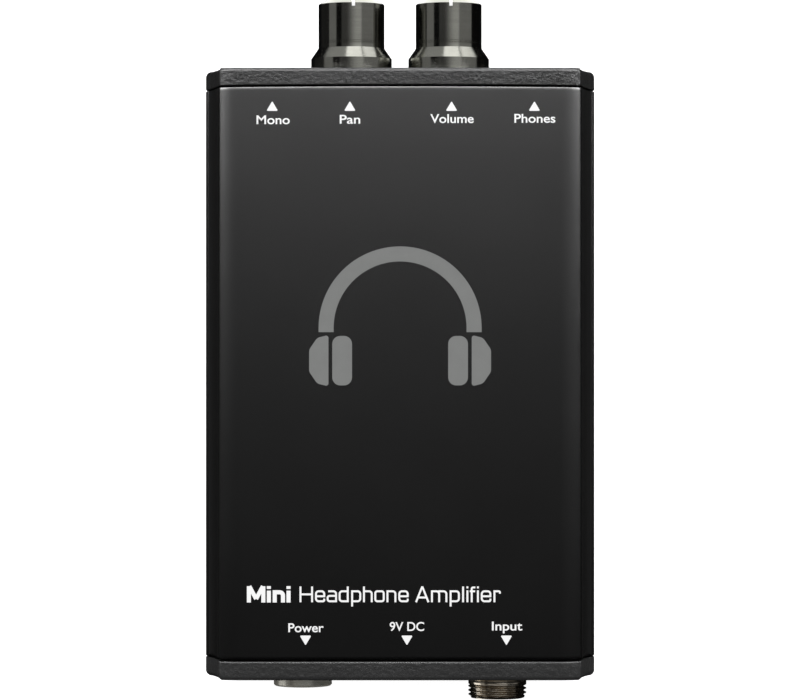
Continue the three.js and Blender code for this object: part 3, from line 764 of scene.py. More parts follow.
def build_base():
    z1 = COVER_Z - 0.3
    lip_top = BASE_HI[2]
    half_out = [(x, BASE_Z) for x in flat_points(0, LOW_CX, 8)][:-1] + list(reversed(HEEL))
    half_out += [(HALF_W, 23.0), (HALF_W, 24.6), (HALF_W - 0.04, 25.0), (HALF_W - 0.14, 25.35), (HALF_W - 0.30, z1 - 0.12), (HALF_W - 0.42, z1), (39.05, z1), (39.0, z1 + 0.1), (39.0, lip_top - 0.3), (38.7, lip_top)]
    half_in = [(37.9, lip_top), (37.6, lip_top - 0.3), (37.6, z1 - 1.6), (39.85, z1 - 2.8), (39.85, 20.0), (36.9, 6.6), (LOW_CX - 0.4, 4.95), (30.0, 4.9), (20.0, 4.9), (10.0, 4.9), (0.0, 4.9)]
    low = mirrored_open(half_out)
    up = mirrored_open(list(reversed(half_in)))
    loop = low + list(reversed(up))
    normals = outline_normals(loop)
    ds = [0.12 for i, (x, z) in enumerate(loop)]
    s = Surf()
    rings = []
    steps = 5
    for k in range(steps + 1):
        phi = math.pi / 2 * (1 - k / steps)
        rings.append(s.ring(inset_ring(loop, normals, ds, phi, COVER_Y0, -1)))
    for k in range(steps + 1):
        phi = math.pi / 2 * k / steps
        rings.append(s.ring(inset_ring(loop, normals, ds, phi, COVER_Y1 + SEAM, 1, front_bow)))
    s.chain(rings)
    s.fill([rings[0]])
    s.fill([rings[-1]])
    return s


DOOR_LO, DOOR_HI = box_mm("battery_door")
BAT_LO, BAT_HI = box_mm("battery_9v")
base = raw("base_tray_shell", build_base())
gx = DOOR_HI[0] - 1.2
carve(base,
      raw("c1", prism([(-gx - 0.3, 0.0), (gx + 0.3, 0.0), (gx + 0.3, 3.85), (-gx - 0.3, 3.85)], COVER_Y0 - 2, DOOR_HI[1] + 0.3, 1)),
      raw("c2", prism([(-gx - 1.5, 2.75), (gx + 1.5, 2.75), (gx + 1.5, 3.86), (-gx - 1.5, 3.86)], COVER_Y0 - 2, DOOR_HI[1] + 0.31, 1)),
      raw("c3", prism(round_rect(BAT_LO[0] - 0.95, BAT_HI[0] + 0.95, BAT_LO[1] - 0.7, BAT_HI[1] + 0.7, 1.0), 1.0, 6.0, 2)))
finish_piece(base, M_CASE, "case", ["base_shell"], angle=40, bevel=0.12)


# ------------------------------------------------------------------ end caps
def cap_outline():
    half = [(x, FACE_Z) for x in flat_points(0, FLAT, 14)][:-1] + SHOULDER
    half += [(side_x(z), z) for z in (35.5, 34.0, 32.5, 31.0, 29.5, 28.0, 27.0, 26.2)]
    half += [(HALF_W - 0.30, 25.75), (HALF_W - 0.14, 25.35), (HALF_W - 0.04, 25.0), (HALF_W, 24.6)]
    half += HEEL
    half += [(x, BASE_Z) for x in flat_points(LOW_CX, 0, 8)][1:]
    half = merge_line(half)
    left = [(-x, z) for x, z in reversed(half)][1:-1]
    return half + left


def scaled_inner(outline, d):
    normals = outline_normals(outline)
    return [(x - nx * d, z - nz * d) for (x, z), (nx, nz) in zip(outline, normals)]


def build_cap(front, y_in, y_out, holes, rim_edge, bevel, warp=None):
    """holes: (x, z, radius, rim kind). bevel: the outer rim as (inset, depth) pairs from the wall to the end face."""
    sign = 1 if front else -1
    outline = cap_outline()
    normals = outline_normals(outline)
    side = [abs(nx) / max(1e-6, math.hypot(nx, nz)) for nx, nz in normals]
    inner_ds = [rim_edge * (1 - 0.6 * k) for k in side]
    s = Surf()
    rings = []
    # inner rim edge, then wall, then outer rounding
    for k in range(4):
        phi = math.pi / 2 * (1 - k / 3)
        rings.append(s.ring(inset_ring(outline, normals, inner_ds, phi, y_in, -sign, warp)))
    for inset, depth in bevel:
        ring = []
        for (x, z), (nx, nz), k in zip(outline, normals, side):
            r = 1.2 * k ** 2.2      # the corners are rounder than the top edge
            t = inset / bevel[-1][0]
            a = math.acos(max(0.0, 1 - t))
            ix = inset * (1 - k ** 2.2) + r * (1 - math.cos(a))
            dy = depth * (1 - k ** 2.2) + r * (1 - math.sin(a))
            ring.append((x - nx * ix, y_out - sign * dy, z - nz * ix))
        rings.append(s.ring(ring))
    s.chain(rings)
    plate = y_out - sign * 2.5
    wall_in = scaled_inner(outline, 2.0)
    p0 = s.ring([(x, y_in + (warp(x, z) if warp else 0.0), z) for x, z in wall_in])
    p1 = s.ring([(x, plate, z) for x, z in wall_in])
    s.loft(rings[0], p0)
    s.loft(p0, p1)
    outer_rings, inner_rings = [rings[-1]], [p1]
    for x, z, r, kind in holes:
        n = 64
        if kind == "sink":
            seq = [(r + 0.12, y_out), (r, y_out - sign * 0.1), (1.5, y_out - sign * 1.6), (1.5, plate + sign * 0.1), (1.6, plate)]
            n = 40
        else:
            e = 0.22
            seq = [(r + e, y_out), (r + e * 0.3, y_out - sign * e * 0.3), (r, y_out - sign * e), (r, plate + sign * 0.15), (r + 0.15, plate)]
        rs = [s.ring(circle(rr, yy, x, z, n)) for rr, yy in seq]
        s.chain(rs)
        outer_rings.append(rs[0])
        inner_rings.append(rs[-1])
    s.fill(outer_rings)
    s.fill(inner_rings)
    return s


sinks = [(x, z, 2.78, "sink") for x, z in SCREWS]
piece("front_cap_casting", build_cap(True, FCAP_LO[1], Y_FRONT, sinks + [
    (PAN_X, AXIS_Z, 3.8, "hole"), (VOL_X, AXIS_Z, 3.8, "hole"), (MONO_X, AXIS_Z, 3.3, "hole"), (PHONES_X, AXIS_Z, 3.3, "hole")],
    0.2, [(0.0, 0.74), (0.004, 0.68), (0.02, 0.60), (0.06, 0.46), (0.10, 0.31), (0.14, 0.16), (0.18, 0.08), (0.24, 0.03), (0.32, 0.005), (0.40, 0.0)], front_bow), M_CAP_F, "case", ["front_end_cap"], angle=60)
piece("rear_cap_casting", build_cap(False, RCAP_HI[1], Y_REAR, sinks + [
    (POWER_X, AXIS_Z, 7.0, "hole"), (DC_X, AXIS_Z, 4.4, "hole"), (INPUT_X, AXIS_Z, 6.15, "hole")],
    0.42, [(0.0, 0.85), (0.01, 0.72), (0.04, 0.58), (0.09, 0.44), (0.16, 0.31), (0.26, 0.19), (0.37, 0.10), (0.50, 0.04), (0.62, 0.01), (0.75, 0.0)]), M_CAP_R, "case", ["rear_end_cap"], angle=60)


# ---------------------------------------------------------------- cap screws
def build_screw(x, z, y_face, sign):
    """Countersunk socket screw with its head in the plane y_face and its shank towards -sign."""
    s = Surf()
    n = 48
    af = 1.5 / 2 / math.cos(math.pi / 6)

    def hexagon(y, r):
        pts = []
        for i in range(n):
            a = 2 * math.pi * i / n
            k = math.cos(math.pi / 6) / math.cos((a + math.pi / 6) % (math.pi / 3) - math.pi / 6)
            pts.append((x + r * k * math.sin(a), y, z + r * k * math.cos(a)))
        return pts

    y = lambda d: y_face - sign * d
    rings = [s.ring(hexagon(y(1.15), af * 0.98)), s.ring(hexagon(y(0.12), af * 0.98)), s.ring(hexagon(y(0.0), af * 1.08))]
    for r, d in ((1.9, 0.0), (2.35, 0.0), (2.46, 0.03), (2.5, 0.1), (2.5, 0.18), (1.30, 1.38), (1.22, 1.5)):
        rings.append(s.ring(circle(r, y(d), x, z, n)))
    depth = 1.5
    pitch = 0.45
    while depth < 7.4:
        for r, d in ((1.22, 0.1), (1.05, 0.32)):
            rings.append(s.ring(circle(r, y(depth + d), x, z, n)))
        depth += pitch
    rings.append(s.ring(circle(0.95, y(7.9), x, z, n)))
    s.chain(rings)
    s.fan(rings[-1], (x, y(7.95), z))
    s.fan(rings[0], (x, y(1.35), z))
    return s


for i, (x, z) in enumerate(SCREWS):
    piece("front_screw_%d" % (i + 1), build_screw(x, z, Y_FRONT - 0.12, 1), M_SCREW, "case", ["front_cap_screw_%d" % (i + 1)], angle=35)
    piece("rear_screw_%d" % (i + 1), build_screw(x, z, Y_REAR + 0.12, -1), M_SCREW, "case", ["rear_cap_screw_%d" % (i + 1)], angle=35)


# -------------------------------------------------------------------- knobs
def build_knob(node, body, name, x, clock):
    lo, hi = box_mm(node)
    y0, y1 = lo[1], hi[1]
    skirt = (hi[0] - lo[0]) / 2
    R = 7.16
    skirt *= 1.011
    profile = rounded([
        (7.0, y0 + 2.7), (7.0, y0, 0.0), (7.05, y0), (skirt, y0, 0.12), (skirt, y0 + 2.8, 0.10), (R, y0 + 5.1, 0.06),
        (R, y0 + 6.02, 0), (R - 0.07, y0 + 6.07, 0), (R - 0.07, y0 + 6.17, 0), (R, y0 + 6.22, 0),
        (R, y0 + 6.44, 0), (R - 0.05, y0 + 6.48, 0), (R - 0.05, y0 + 6.54, 0), (R, y0 + 6.58, 0),
        (R, y1 - 1.15, 0.06), (5.35, y1, 0.08), (4.95, y1, 0.05), (4.7, y1 - 0.28, 0.08)], 4)
    # faint turning rings on the sunk end face
    r = 4.6
    while r > 0.4:
        profile.append((r, y1 - 0.30))
        profile.append((r - 0.16, y1 - 0.30))
        profile.append((r - 0.20, y1 - 0.335))
        profile.append((r - 0.26, y1 - 0.335))
        r -= 0.3
    profile.append((0.0, y1 - 0.31))
    s = turned(profile, x, AXIS_Z, 144)
    # the hollow under the skirt and the shaft bore
    under = turned([(7.0, y0 + 2.7), (3.15, y0 + 2.7), (3.15, y0 + 12.7), (0.0, y0 + 12.7)], x, AXIS_Z, 144)
    s.add(under)
    ob = raw(name, s)
    # the pointer stands a little clockwise of straight up
    ca, sa = math.cos(rad(clock)), math.sin(rad(clock))

    def at(u, w):
        return x + u * ca + w * sa, AXIS_Z - u * sa + w * ca

    slot = raw("c", prism([at(-0.39, R - 2.4), at(0.39, R - 2.4), at(0.39, R + 1), at(-0.39, R + 1)], y1 - 1.95, y1 + 2, 1))
    bore = Surf()
    ring0 = bore.ring([(x + 1.5 * math.sin(a), y0 + 9.2 + 1.5 * math.cos(a), AXIS_Z - 12) for a in [2 * math.pi * i / 40 for i in range(40)]])
    ring1 = bore.ring([(x + 1.5 * math.sin(a), y0 + 9.2 + 1.5 * math.cos(a), AXIS_Z - 2) for a in [2 * math.pi * i / 40 for i in range(40)]])
    bore.loft(ring0, ring1)
    bore.fan(ring0, (x, y0 + 9.2, AXIS_Z - 12))
    bore.fan(ring1, (x, y0 + 9.2, AXIS_Z - 2))
    carve(ob, slot, raw("c", bore))
    finish_piece(ob, M_KNOB, body, [node], angle=24)
    # white paint in the pointer slot
    s = Surf()
    rings = []
    for y, top in ((y1 - 1.92, R - 0.05), (y1 - 1.15, R - 0.05), (y1 - 0.05, 5.42)):
        corners = [at(-0.37, R - 2.38), at(0.37, R - 2.38), at(0.37, top), at(-0.37, top)]
        rings.append(s.ring([(px, y, pz) for px, pz in corners]))
    a, c = rings[0], rings[-1]
    s.chain(rings)
    s.fill([a])
    s.fill([c])
    piece(name + "_pointer", s, M_POINTER, body, angle=30, bevel=0.05)


build_knob("pan_knob", "pan_control", "pan_dial", PAN_X, 4.2)
build_knob("volume_knob", "volume_control", "volume_dial", VOL_X, 3.2)


# ------------------------------------------------------ buttons, rings, feet
def build_power():
    lo, hi = box_mm("power_button")
    y0 = lo[1]
    R = (hi[0] - lo[0]) / 2
    prof = [(0.0, y0 + 0.10), (2.0, y0 + 0.085), (3.6, y0 + 0.05), (4.6, y0 + 0.02)]
    prof += rounded([(4.9, y0 + 0.0), (5.95, y0 + 0.02, 0.0), (R, y0 + 0.30, 0.28), (R, y0 + 0.9), (R, y0 + 1.6, 0), (R, hi[1] - 7.5, 0.1), (2.6, hi[1] - 7.4, 0.1), (2.6, hi[1], 0.3), (0.0, hi[1])], 5)
    piece("power_push_cap", turned(prof, POWER_X, AXIS_Z, 128), M_BUTTON, "power_button", ["power_button"], angle=28)
    lo, hi = box_mm("power_bezel")
    R1 = (hi[0] - lo[0]) / 2
    prof = rounded([(6.62, hi[1]), (6.62, lo[1], 0.2), (R1, lo[1], 0.28), (R1, Y_REAR - 0.03, 0.02), (6.9, Y_REAR - 0.03, 0.02), (6.9, hi[1], 0.1), (6.62, hi[1])], 4)
    piece("power_trim_ring", turned(prof[:-1], POWER_X, AXIS_Z, 128, loop=True), M_STEEL, "case", ["power_bezel"], angle=35)


build_power()


def build_mono():
    lo, hi = box_mm("mono_button")
    y1 = hi[1]
    R = 2.95
    prof = [(0.0, y1 - 0.22), (1.2, y1 - 0.18), (2.0, y1 - 0.08)] + rounded([(2.3, y1 - 0.02), (2.6, y1, 0.12), (R, y1 - 0.28, 0.22), (R, y1 - 2.33, 0.1), (2.0, y1 - 2.33, 0.05), (2.0, lo[1], 0.2), (0.0, lo[1])], 4)
    piece("mono_push_cap", turned(prof, MONO_X, AXIS_Z, 96), M_PLASTIC, "mono_button", ["mono_button"], angle=30)


build_mono()


def build_phones():
    lo, hi = box_mm("phones_jack_nut")
    y0, y1 = lo[1], hi[1]
    # a round panel ring with two spanner slots
    prof = rounded([(3.15, y0), (3.15, y1, 0.12), (4.1, y1, 0.25), (4.1, y0, 0.06), (3.15, y0)], 4)
    ob = raw("phones_ring", turned(prof[:-1], PHONES_X, AXIS_Z, 96, loop=True))
    cuts = []
    for s in (-1, 1):
        cuts.append(raw("c", prism([(PHONES_X + s * 3.4 - 1.0, AXIS_Z - 0.4), (PHONES_X + s * 3.4 + 1.0, AXIS_Z - 0.4), (PHONES_X + s * 3.4 + 1.0, AXIS_Z + 0.4), (PHONES_X + s * 3.4 - 1.0, AXIS_Z + 0.4)], y1 - 0.4, y1 + 1, 1)))
    carve(ob, *cuts)
    finish_piece(ob, M_NICKEL, "case", ["phones_jack_nut"], angle=35)
    lo, hi = box_mm("phones_jack_body")
    y1 = hi[1]
    yb = lo[1]
    body = soft_prism(round_rect(PHONES_X - 6, PHONES_X + 6, lo[2], hi[2], 0.6), yb, Y_FRONT - 2.55, 1, 0.25)
    ob = raw("phones_socket", body)
    sleeve = raw("c", turned(rounded([(0.0, Y_FRONT - 3.4), (3.0, Y_FRONT - 3.4), (3.0, y1, 0.15), (0.0, y1)], 4), PHONES_X, AXIS_Z, 72))
    carve(ob, sleeve, op="UNION")
    drill = raw("c", turned([(0.0, yb + 1.5), (1.8, yb + 1.5), (1.8, y1 - 0.3), (2.1, y1), (2.1, y1 + 1), (0.0, y1 + 1)], PHONES_X, AXIS_Z, 72))
    carve(ob, drill)
    finish_piece(ob, M_PLASTIC, "case", ["phones_jack_body"], angle=35)
    # sprung contact seen down the bore
    s = turned([(1.78, y1 - 1.2), (1.62, y1 - 1.2), (1.62, y1 - 4.4), (1.78, y1 - 4.4)], PHONES_X, AXIS_Z, 72, loop=True)
    piece("phones_sleeve_contact", s, M_NICKEL, "case", angle=30)


build_phones()


def build_dc():
    lo, hi = box_mm("dc_jack_body")
    y0 = lo[1]
    R = (hi[0] - lo[0]) / 2
    prof = rounded([(3.1, hi[1] - 2.0), (3.1, y0 + 0.3, 0.0), (3.35, y0, 0.05), (R - 0.35, y0, 0.1), (R, y0 + 0.35, 0.1), (R, Y_REAR - 0.04, 0.03), (4.1, Y_REAR - 0.04, 0.02), (4.1, hi[1], 0.2), (0.0, hi[1])], 4)
    s = turned(prof, DC_X, AXIS_Z, 96)
    s.add(turned([(3.1, hi[1] - 2.0), (0.0, hi[1] - 2.0)], DC_X, AXIS_Z, 96))
    piece("dc_socket", s, M_PLASTIC, "case", ["dc_jack_body"], angle=35)
    lo, hi = box_mm("dc_jack_pin")
    prof = rounded([(0.0, lo[1]), (0.55, lo[1], 0.2), (1.0, lo[1] + 0.7, 0.3), (1.0, hi[1], 0.05), (0.0, hi[1])], 5)
    piece("dc_centre_pin", turned(prof, DC_X, AXIS_Z, 48), M_NICKEL, "case", ["dc_jack_pin"], angle=35)


build_dc()


def build_input():
    lo, hi = box_mm("input_connector_shell")
    tip = lo[1] + 0.75
    x = INPUT_X
    root_r, crest = 5.74, 6.3
    pitch = 0.907
    n = 120
    s = Surf()
    rings = []
    thread_end = tip + 3.05         # run-out towards the collar
    y = tip + 0.10
    step = pitch / 18
    # the end chamfer, then the helix as a fine height field
    rings.append(s.ring(circle(5.15, tip, x, AXIS_Z, n)))
    rings.append(s.ring(circle(5.66, tip, x, AXIS_Z, n)))
    rings.append(s.ring(circle(5.74, tip + 0.05, x, AXIS_Z, n)))
    while y < thread_end:
        pts = []
        for i in range(n):
            a = i / n
            u = ((y - tip) / pitch + a) % 1.0
            tooth = max(0.0, 1 - abs(u - 0.5) / 0.40)
            tooth = min(1.0, tooth * 1.22)
            grow = min(1.0, max(0.25, (y - tip) / 0.7))
            fade = min(1.0, max(0.0, (thread_end - y) / 0.35))
            lift = tooth * grow
            r = root_r + (crest - root_r) * (lift * fade + (1 - fade) * 1.0)
            pts.append((x + r * math.sin(2 * math.pi * a), y, AXIS_Z + r * math.cos(2 * math.pi * a)))
        rings.append(s.ring(pts))
        y += step
    for r, yy in ((crest, thread_end + 0.05), (crest, Y_REAR - 1.15), (crest - 0.12, Y_REAR - 0.98), (crest - 0.12, Y_REAR - 0.86), (7.2, Y_REAR - 0.85), (7.42, Y_REAR - 0.78), (7.5, Y_REAR - 0.6), (7.5, Y_REAR - 0.12), (7.4, Y_REAR - 0.04),
                  (5.9, Y_REAR - 0.04), (5.85, Y_REAR + 0.02), (5.85, hi[1] - 0.2), (5.7, hi[1]), (5.0, hi[1]), (4.95, hi[1] - 0.05), (4.95, tip + 0.2), (5.15, tip)):
        if (r, yy) == (5.15, tip):
            s.loft(rings[-1], rings[0])
            break
        rings.append(s.ring(circle(r, yy, x, AXIS_Z, n)))
    s.chain(rings)
    piece("input_threaded_barrel", s, M_NICKEL, "case", ["input_connector_shell"], angle=38, weighted=False)
    # insulator with a key slot and four collared contact holes
    lo, hi = box_mm("input_connector_insert")
    y0, y1 = lo[1], hi[1]
    contacts = [centre_xz("input_contact_%d" % i) for i in (1, 2, 3, 4)]
    s = Surf()
    n = 96
    key = []
    for i in range(n):
        a = 2 * math.pi * i / n
        px, pz = 4.75 * math.sin(a), 4.75 * math.cos(a)
        key.append((px, pz))
    rim = [s.ring([(x + px * k, y, AXIS_Z + pz * k) for px, pz in key]) for k, y in ((0.975, y0), (1.0, y0 + 0.12), (1.0, y1 - 0.1), (0.98, y1))]
    s.chain(rim)
    outs, ins = [rim[0]], [rim[-1]]
    for cx, cz in contacts:
        rs = [s.ring(circle(r, y, cx, cz, 28)) for r, y in ((0.98, y0), (0.98, y0 - 0.0), (0.9, y0 + 0.12), (0.62, y0 + 0.12), (0.62, y1 - 0.02), (0.7, y1))]
        s.chain(rs)
        outs.append(rs[0])
        ins.append(rs[-1])
    s.fill(outs)
    s.fill(ins)
    ob = raw("input_insulator", s)
    carve(ob, raw("c", prism([(x - 0.6, AXIS_Z + 3.9), (x + 0.6, AXIS_Z + 3.9), (x + 0.6, AXIS_Z + 6), (x - 0.6, AXIS_Z + 6)], y0 - 1, y0 + 1.2, 1)))
    finish_piece(ob, M_INSERT, "case", ["input_connector_insert"], angle=35)
    for i, (cx, cz) in enumerate(contacts):
        lo, hi = box_mm("input_contact_%d" % (i + 1))
        prof = [(0.0, lo[1]), (0.16, lo[1] + 0.03), (0.30, lo[1] + 0.12), (0.42, lo[1] + 0.3), (0.5, lo[1] + 0.6), (0.5, hi[1] - 6.0), (0.42, hi[1] - 5.8), (0.42, hi[1] - 0.1), (0.0, hi[1])]
        piece("input_pin_%d" % (i + 1), turned(prof, cx, cz, 32), M_BRASS, "case", ["input_contact_%d" % (i + 1)], angle=40)


build_input()


def z_turned(profile, cx, cy, n=72):
    """A turned surface about a Z axis, from (radius, z) pairs."""
    s = turned([(r, z) for r, z in profile], 0.0, 0.0, n)
    s.v = [(cx + x, cy + z, y) for x, y, z in s.v]
    return s


for f in ("foot_front_right", "foot_front_left", "foot_rear_right", "foot_rear_left"):
    lo, hi = box_mm(f)
    cx, cy, R = (lo[0] + hi[0]) / 2, (lo[1] + hi[1]) / 2, (hi[0] - lo[0]) / 2
    prof = rounded([(0.0, 0.12), (1.2, 0.12), (1.5, 0.0, 0.15), (R - 0.5, 0.0, 0.45), (R - 0.1, 0.9, 0.6), (R, hi[2] - 0.2, 0.1), (R, hi[2], 0.05), (0.0, hi[2])], 5)
    piece(f.replace("foot", "bumper"), z_turned(prof, cx, cy), M_RUBBER, "case", [f], angle=40)


# --------------------------------------------------------------- battery door
def build_door():
    lo, hi = DOOR_LO, DOOR_HI
    w = hi[0] - 1.2
    ob = raw("battery_hatch", soft_prism(round_rect(-w, w, lo[1], hi[1], 0.8), lo[2], hi[2], 2, 0.02, lo_edge=0.25))
    tongue = raw("c", soft_prism(round_rect(lo[0], hi[0], lo[1], hi[1], 0.5), hi[2] - 0.5, hi[2] - 0.001, 2, 0.02, lo_edge=0.1))
    carve(ob, tongue, op="UNION")
    cuts = []
    for i in range(5):
        y = lo[1] + 2.6 + i * 1.5
        c = Surf()
        pts = [(y - 0.42, 0.0), (y + 0.42, 0.0), (y + 0.42, lo[2]), (y + 0.2, lo[2] + 0.38), (y - 0.2, lo[2] + 0.38), (y - 0.42, lo[2])]
        cuts.append(raw("c", prism(pts, -8.0 + 0.2 * i, 8.0 - 0.2 * i, 0)))
    # an arrowhead that shows the way to slide
    y = lo[1] + 12.6
    cuts.append(raw("c", prism([(-2.2, y), (2.2, y), (0.0, y - 2.6)], 0.0, lo[2] + 0.3, 2)))
    carve(ob, *cuts)
    finish_piece(ob, M_DOOR, "battery_door", ["battery_door"], angle=35)


build_door()


# ------------------------------------------------------------------- printing
def text_mesh(body, width, height, cx, base_y, weight=0.0, spacing=1.0, depth=0.03):
    """A line of type turned to a closed mesh, fitted to a width and a capital's height, standing on base_y."""
    cu = bpy.data.curves.new("type", "FONT")
    cu.body = body
    cu.size = 10.0
    cu.offset = weight
    cu.space_character = spacing
    cu.extrude = 0.5
    cu.resolution_u = 8
    cu.align_x = "LEFT"
    ob = bpy.data.objects.new("type", cu)
    bpy.context.scene.collection.objects.link(ob)
    bpy.context.view_layer.update()
    dg = bpy.context.evaluated_depsgraph_get()
    me = bpy.data.meshes.new_from_object(ob.evaluated_get(dg))
    probe = bpy.data.curves.new("probe", "FONT")
    probe.body = "H"
    probe.size = 10.0
    probe.offset = weight
    ob.data = probe
    bpy.context.view_layer.update()
    dg = bpy.context.evaluated_depsgraph_get()
    hm = bpy.data.meshes.new_from_object(ob.evaluated_get(dg))
    cap = max(v.co.y for v in hm.vertices) - min(v.co.y for v in hm.vertices)
    foot = min(v.co.y for v in hm.vertices)
    bpy.data.objects.remove(ob)
    bpy.data.meshes.remove(hm)
    x0 = min(v.co.x for v in me.vertices)
    x1 = max(v.co.x for v in me.vertices)
    sx, sy = width / (x1 - x0), height / cap
    z0 = FACE_Z - 0.01
    for v in me.vertices:
        v.co = Vector(((cx + (v.co.x - (x0 + x1) / 2) * sx) * MM, (base_y + (v.co.y - foot) * sy) * MM, (z0 + (0 if v.co.z < 0 else depth)) * MM))
    bm = bmesh.new()
    bm.from_mesh(me)
    bmesh.ops.remove_doubles(bm, verts=bm.verts, dist=2e-7)
    bmesh.ops.dissolve_degenerate(bm, edges=bm.edges, dist=2e-7)
    bmesh.ops.recalc_face_normals(bm, faces=bm.faces)
    bm.to_mesh(me)
    bm.free()
    return me


def flat_shape(outline, depth=0.03):
    s = prism(outline, FACE_Z - 0.01, FACE_Z - 0.01 + depth, 2)
    return mesh_of(s, "shape")


def printed(name, meshes, mat):
    bm = bmesh.new()
    for me in meshes:
        bm.from_mesh(me)
        bpy.data.meshes.remove(me)
    me = bpy.data.meshes.new(name)
    bm.to_mesh(me)
    bm.free()
    ob = bpy.data.objects.new(name, me)
    bpy.context.scene.collection.objects.link(ob)
    return finish_piece(ob, mat, "case", angle=30, weighted=False)


def triangle(cx, y_tip, y_base, w):
    ring = rounded([((cx), y_base), (cx + w / 2, y_base, 0.16), (cx, y_tip, 0.14), (cx - w / 2, y_base, 0.16), (cx, y_base)], 4)
    return ring[:-1] if abs(ring[0][0] - ring[-1][0]) < 1e-9 and abs(ring[0][1] - ring[-1][1]) < 1e-9 else ring


FRONT_EDGE = COVER_Y1
REAR_EDGE = COVER_Y0
TYPE = 0.9988        # the photo's scale on the face
labels = [("Mono", -27.05, 7.05), ("Pan", -10.55, 4.35), ("Volume", 11.05, 9.20), ("Phones", 28.65, 8.70)]
front_print = []
for word, cx, w in labels:
    cx = cx * TYPE - 0.12
    front_print.append(text_mesh(word, w, 1.88, cx + {"Mono": 0.2, "Pan": 0.02, "Volume": 0.1, "Phones": 0.1}[word], FRONT_EDGE - 8.35 + {"Mono": 0.2, "Pan": 0.3, "Volume": 0.45, "Phones": 0.5}[word], weight=0.13))
    front_print.append(flat_shape(triangle(cx, FRONT_EDGE - 3.25, FRONT_EDGE - 5.33, 2.46)))
printed("printing_front", front_print, M_WHITE)
rear_print = []
for word, cx, w in [("Power", -19.97, 7.5), ("9V DC", 1.57, 7.3), ("Input", 22.7, 6.45)]:
    cx = cx * TYPE - 0.12
    rear_print.append(text_mesh(word, w, 1.88, cx + {"Power": 0.1, "9V DC": 0.0, "Input": 0.15}[word], REAR_EDGE + 5.85 + {"Power": 0.1, "9V DC": 0.36, "Input": 0.46}[word], weight=0.10 if word[0] == "9" else 0.13))
    rear_print.append(flat_shape(triangle(cx, REAR_EDGE + 3.15, REAR_EDGE + 5.23, 2.46)))
printed("printing_rear", rear_print, M_WHITE)

def ribbon(path, w):
    """Outline of a pen stroke of width w along a path of (x, y, corner radius)."""
    pts = rounded(path, 5)
    left, right = [], []
    for i, p in enumerate(pts):
        a, b = pts[max(0, i - 1)], pts[min(len(pts) - 1, i + 1)]
        u = Vector((p[0] - a[0], p[1] - a[1]))
        v = Vector((b[0] - p[0], b[1] - p[1]))
        u = u.normalized() if u.length > 1e-9 else v.normalized()
        v = v.normalized() if v.length > 1e-9 else u
        n0, n1 = Vector((-u.y, u.x)), Vector((-v.y, v.x))
        m = (n0 + n1).normalized()
        m = m * (w / 2 / max(0.35, m.dot(n0)))
        left.append((p[0] + m.x, p[1] + m.y))
        right.append((p[0] - m.x, p[1] - m.y))
    return left + right[::-1]


def letter(ch, x0, x1, cap, xh, desc, w):
    """Strokes of a squarish sans letter that fills x0..x1; its baseline is y 0."""
    h = w / 2
    a, b = x0 + h, x1 - h
    m = (a + b) / 2
    t, c, k = xh - h, cap - h, h
    r = max(0.32 * (b - a), 1.6 * h)
    mid = xh * 0.5
    dot = min(w, 0.58)
    if ch == "H":
        return [[(a, 0), (a, cap)], [(b, 0), (b, cap)], [(a, cap * 0.5), (b, cap * 0.5)]]
    if ch == "M":
        return [[(a, 0), (a, cap)], [(b, 0), (b, cap)], [(a + h * 0.2, cap), (m, cap * 0.22)], [(b - h * 0.2, cap), (m, cap * 0.22)]]
    if ch == "A":
        return [[(x0 + h * 0.9, 0), (m, cap)], [(x1 - h * 0.9, 0), (m, cap)], [(x0 + (m - x0) * 0.42, cap * 0.30), (x1 - (m - x0) * 0.42, cap * 0.30)]]
    if ch == "e":
        return [[(b, mid - h * 0.6), (b, t, r), (a, t, r), (a, k, r), (b, k, r), (b, k + xh * 0.22)], [(a, mid), (b + h, mid)]]
    if ch == "a":
        return [[(a + 0.12, t), (b, t, r), (b, 0)], [(b, mid + h * 0.4), (a, mid + h * 0.4, r * 0.7), (a, k, r * 0.8), (b, k)]]
    if ch == "d":
        return [[(b, 0), (b, cap)], [(b, t), (a, t, r), (a, k, r), (b, k)]]
    if ch == "p":
        return [[(a, -desc), (a, xh)], [(a, t), (b, t, r), (b, k, r), (a, k)]]
    if ch == "h":
        return [[(a, 0), (a, cap)], [(a, t), (b, t, r), (b, 0)]]
    if ch == "o":
        return [[(m, t), (a, t, r), (a, k, r), (m + 0.01, k)], [(m, t), (b, t, r), (b, k, r), (m, k)]]
    if ch == "n":
        return [[(a, 0), (a, xh)], [(a, t), (b, t, r), (b, 0)]]
    if ch == "m":
        return [[(a, 0), (a, xh)], [(a, t), (m, t, r * 0.6), (m, 0)], [(m - h, t), (b, t, r * 0.6), (b, 0)]]
    if ch == "l":
        return [[(m, 0), (m, cap)]]
    if ch == "i":
        return [[(m, 0), (m, min(xh, cap - dot - 0.36))], [(m, cap - dot), (m, cap + 0.02)]]
    if ch == "f":
        return [[(a + 0.1, 0), (a + 0.1, c, r * 0.9), (x1, c)], [(x0 - 0.12, t), (x1 - 0.05, t)]]
    if ch == "r":
        return [[(a, 0), (a, xh)], [(a, t), (x1 - h, t, r * 0.8), (x1 - h, t - xh * 0.2)]]
    raise ValueError(ch)


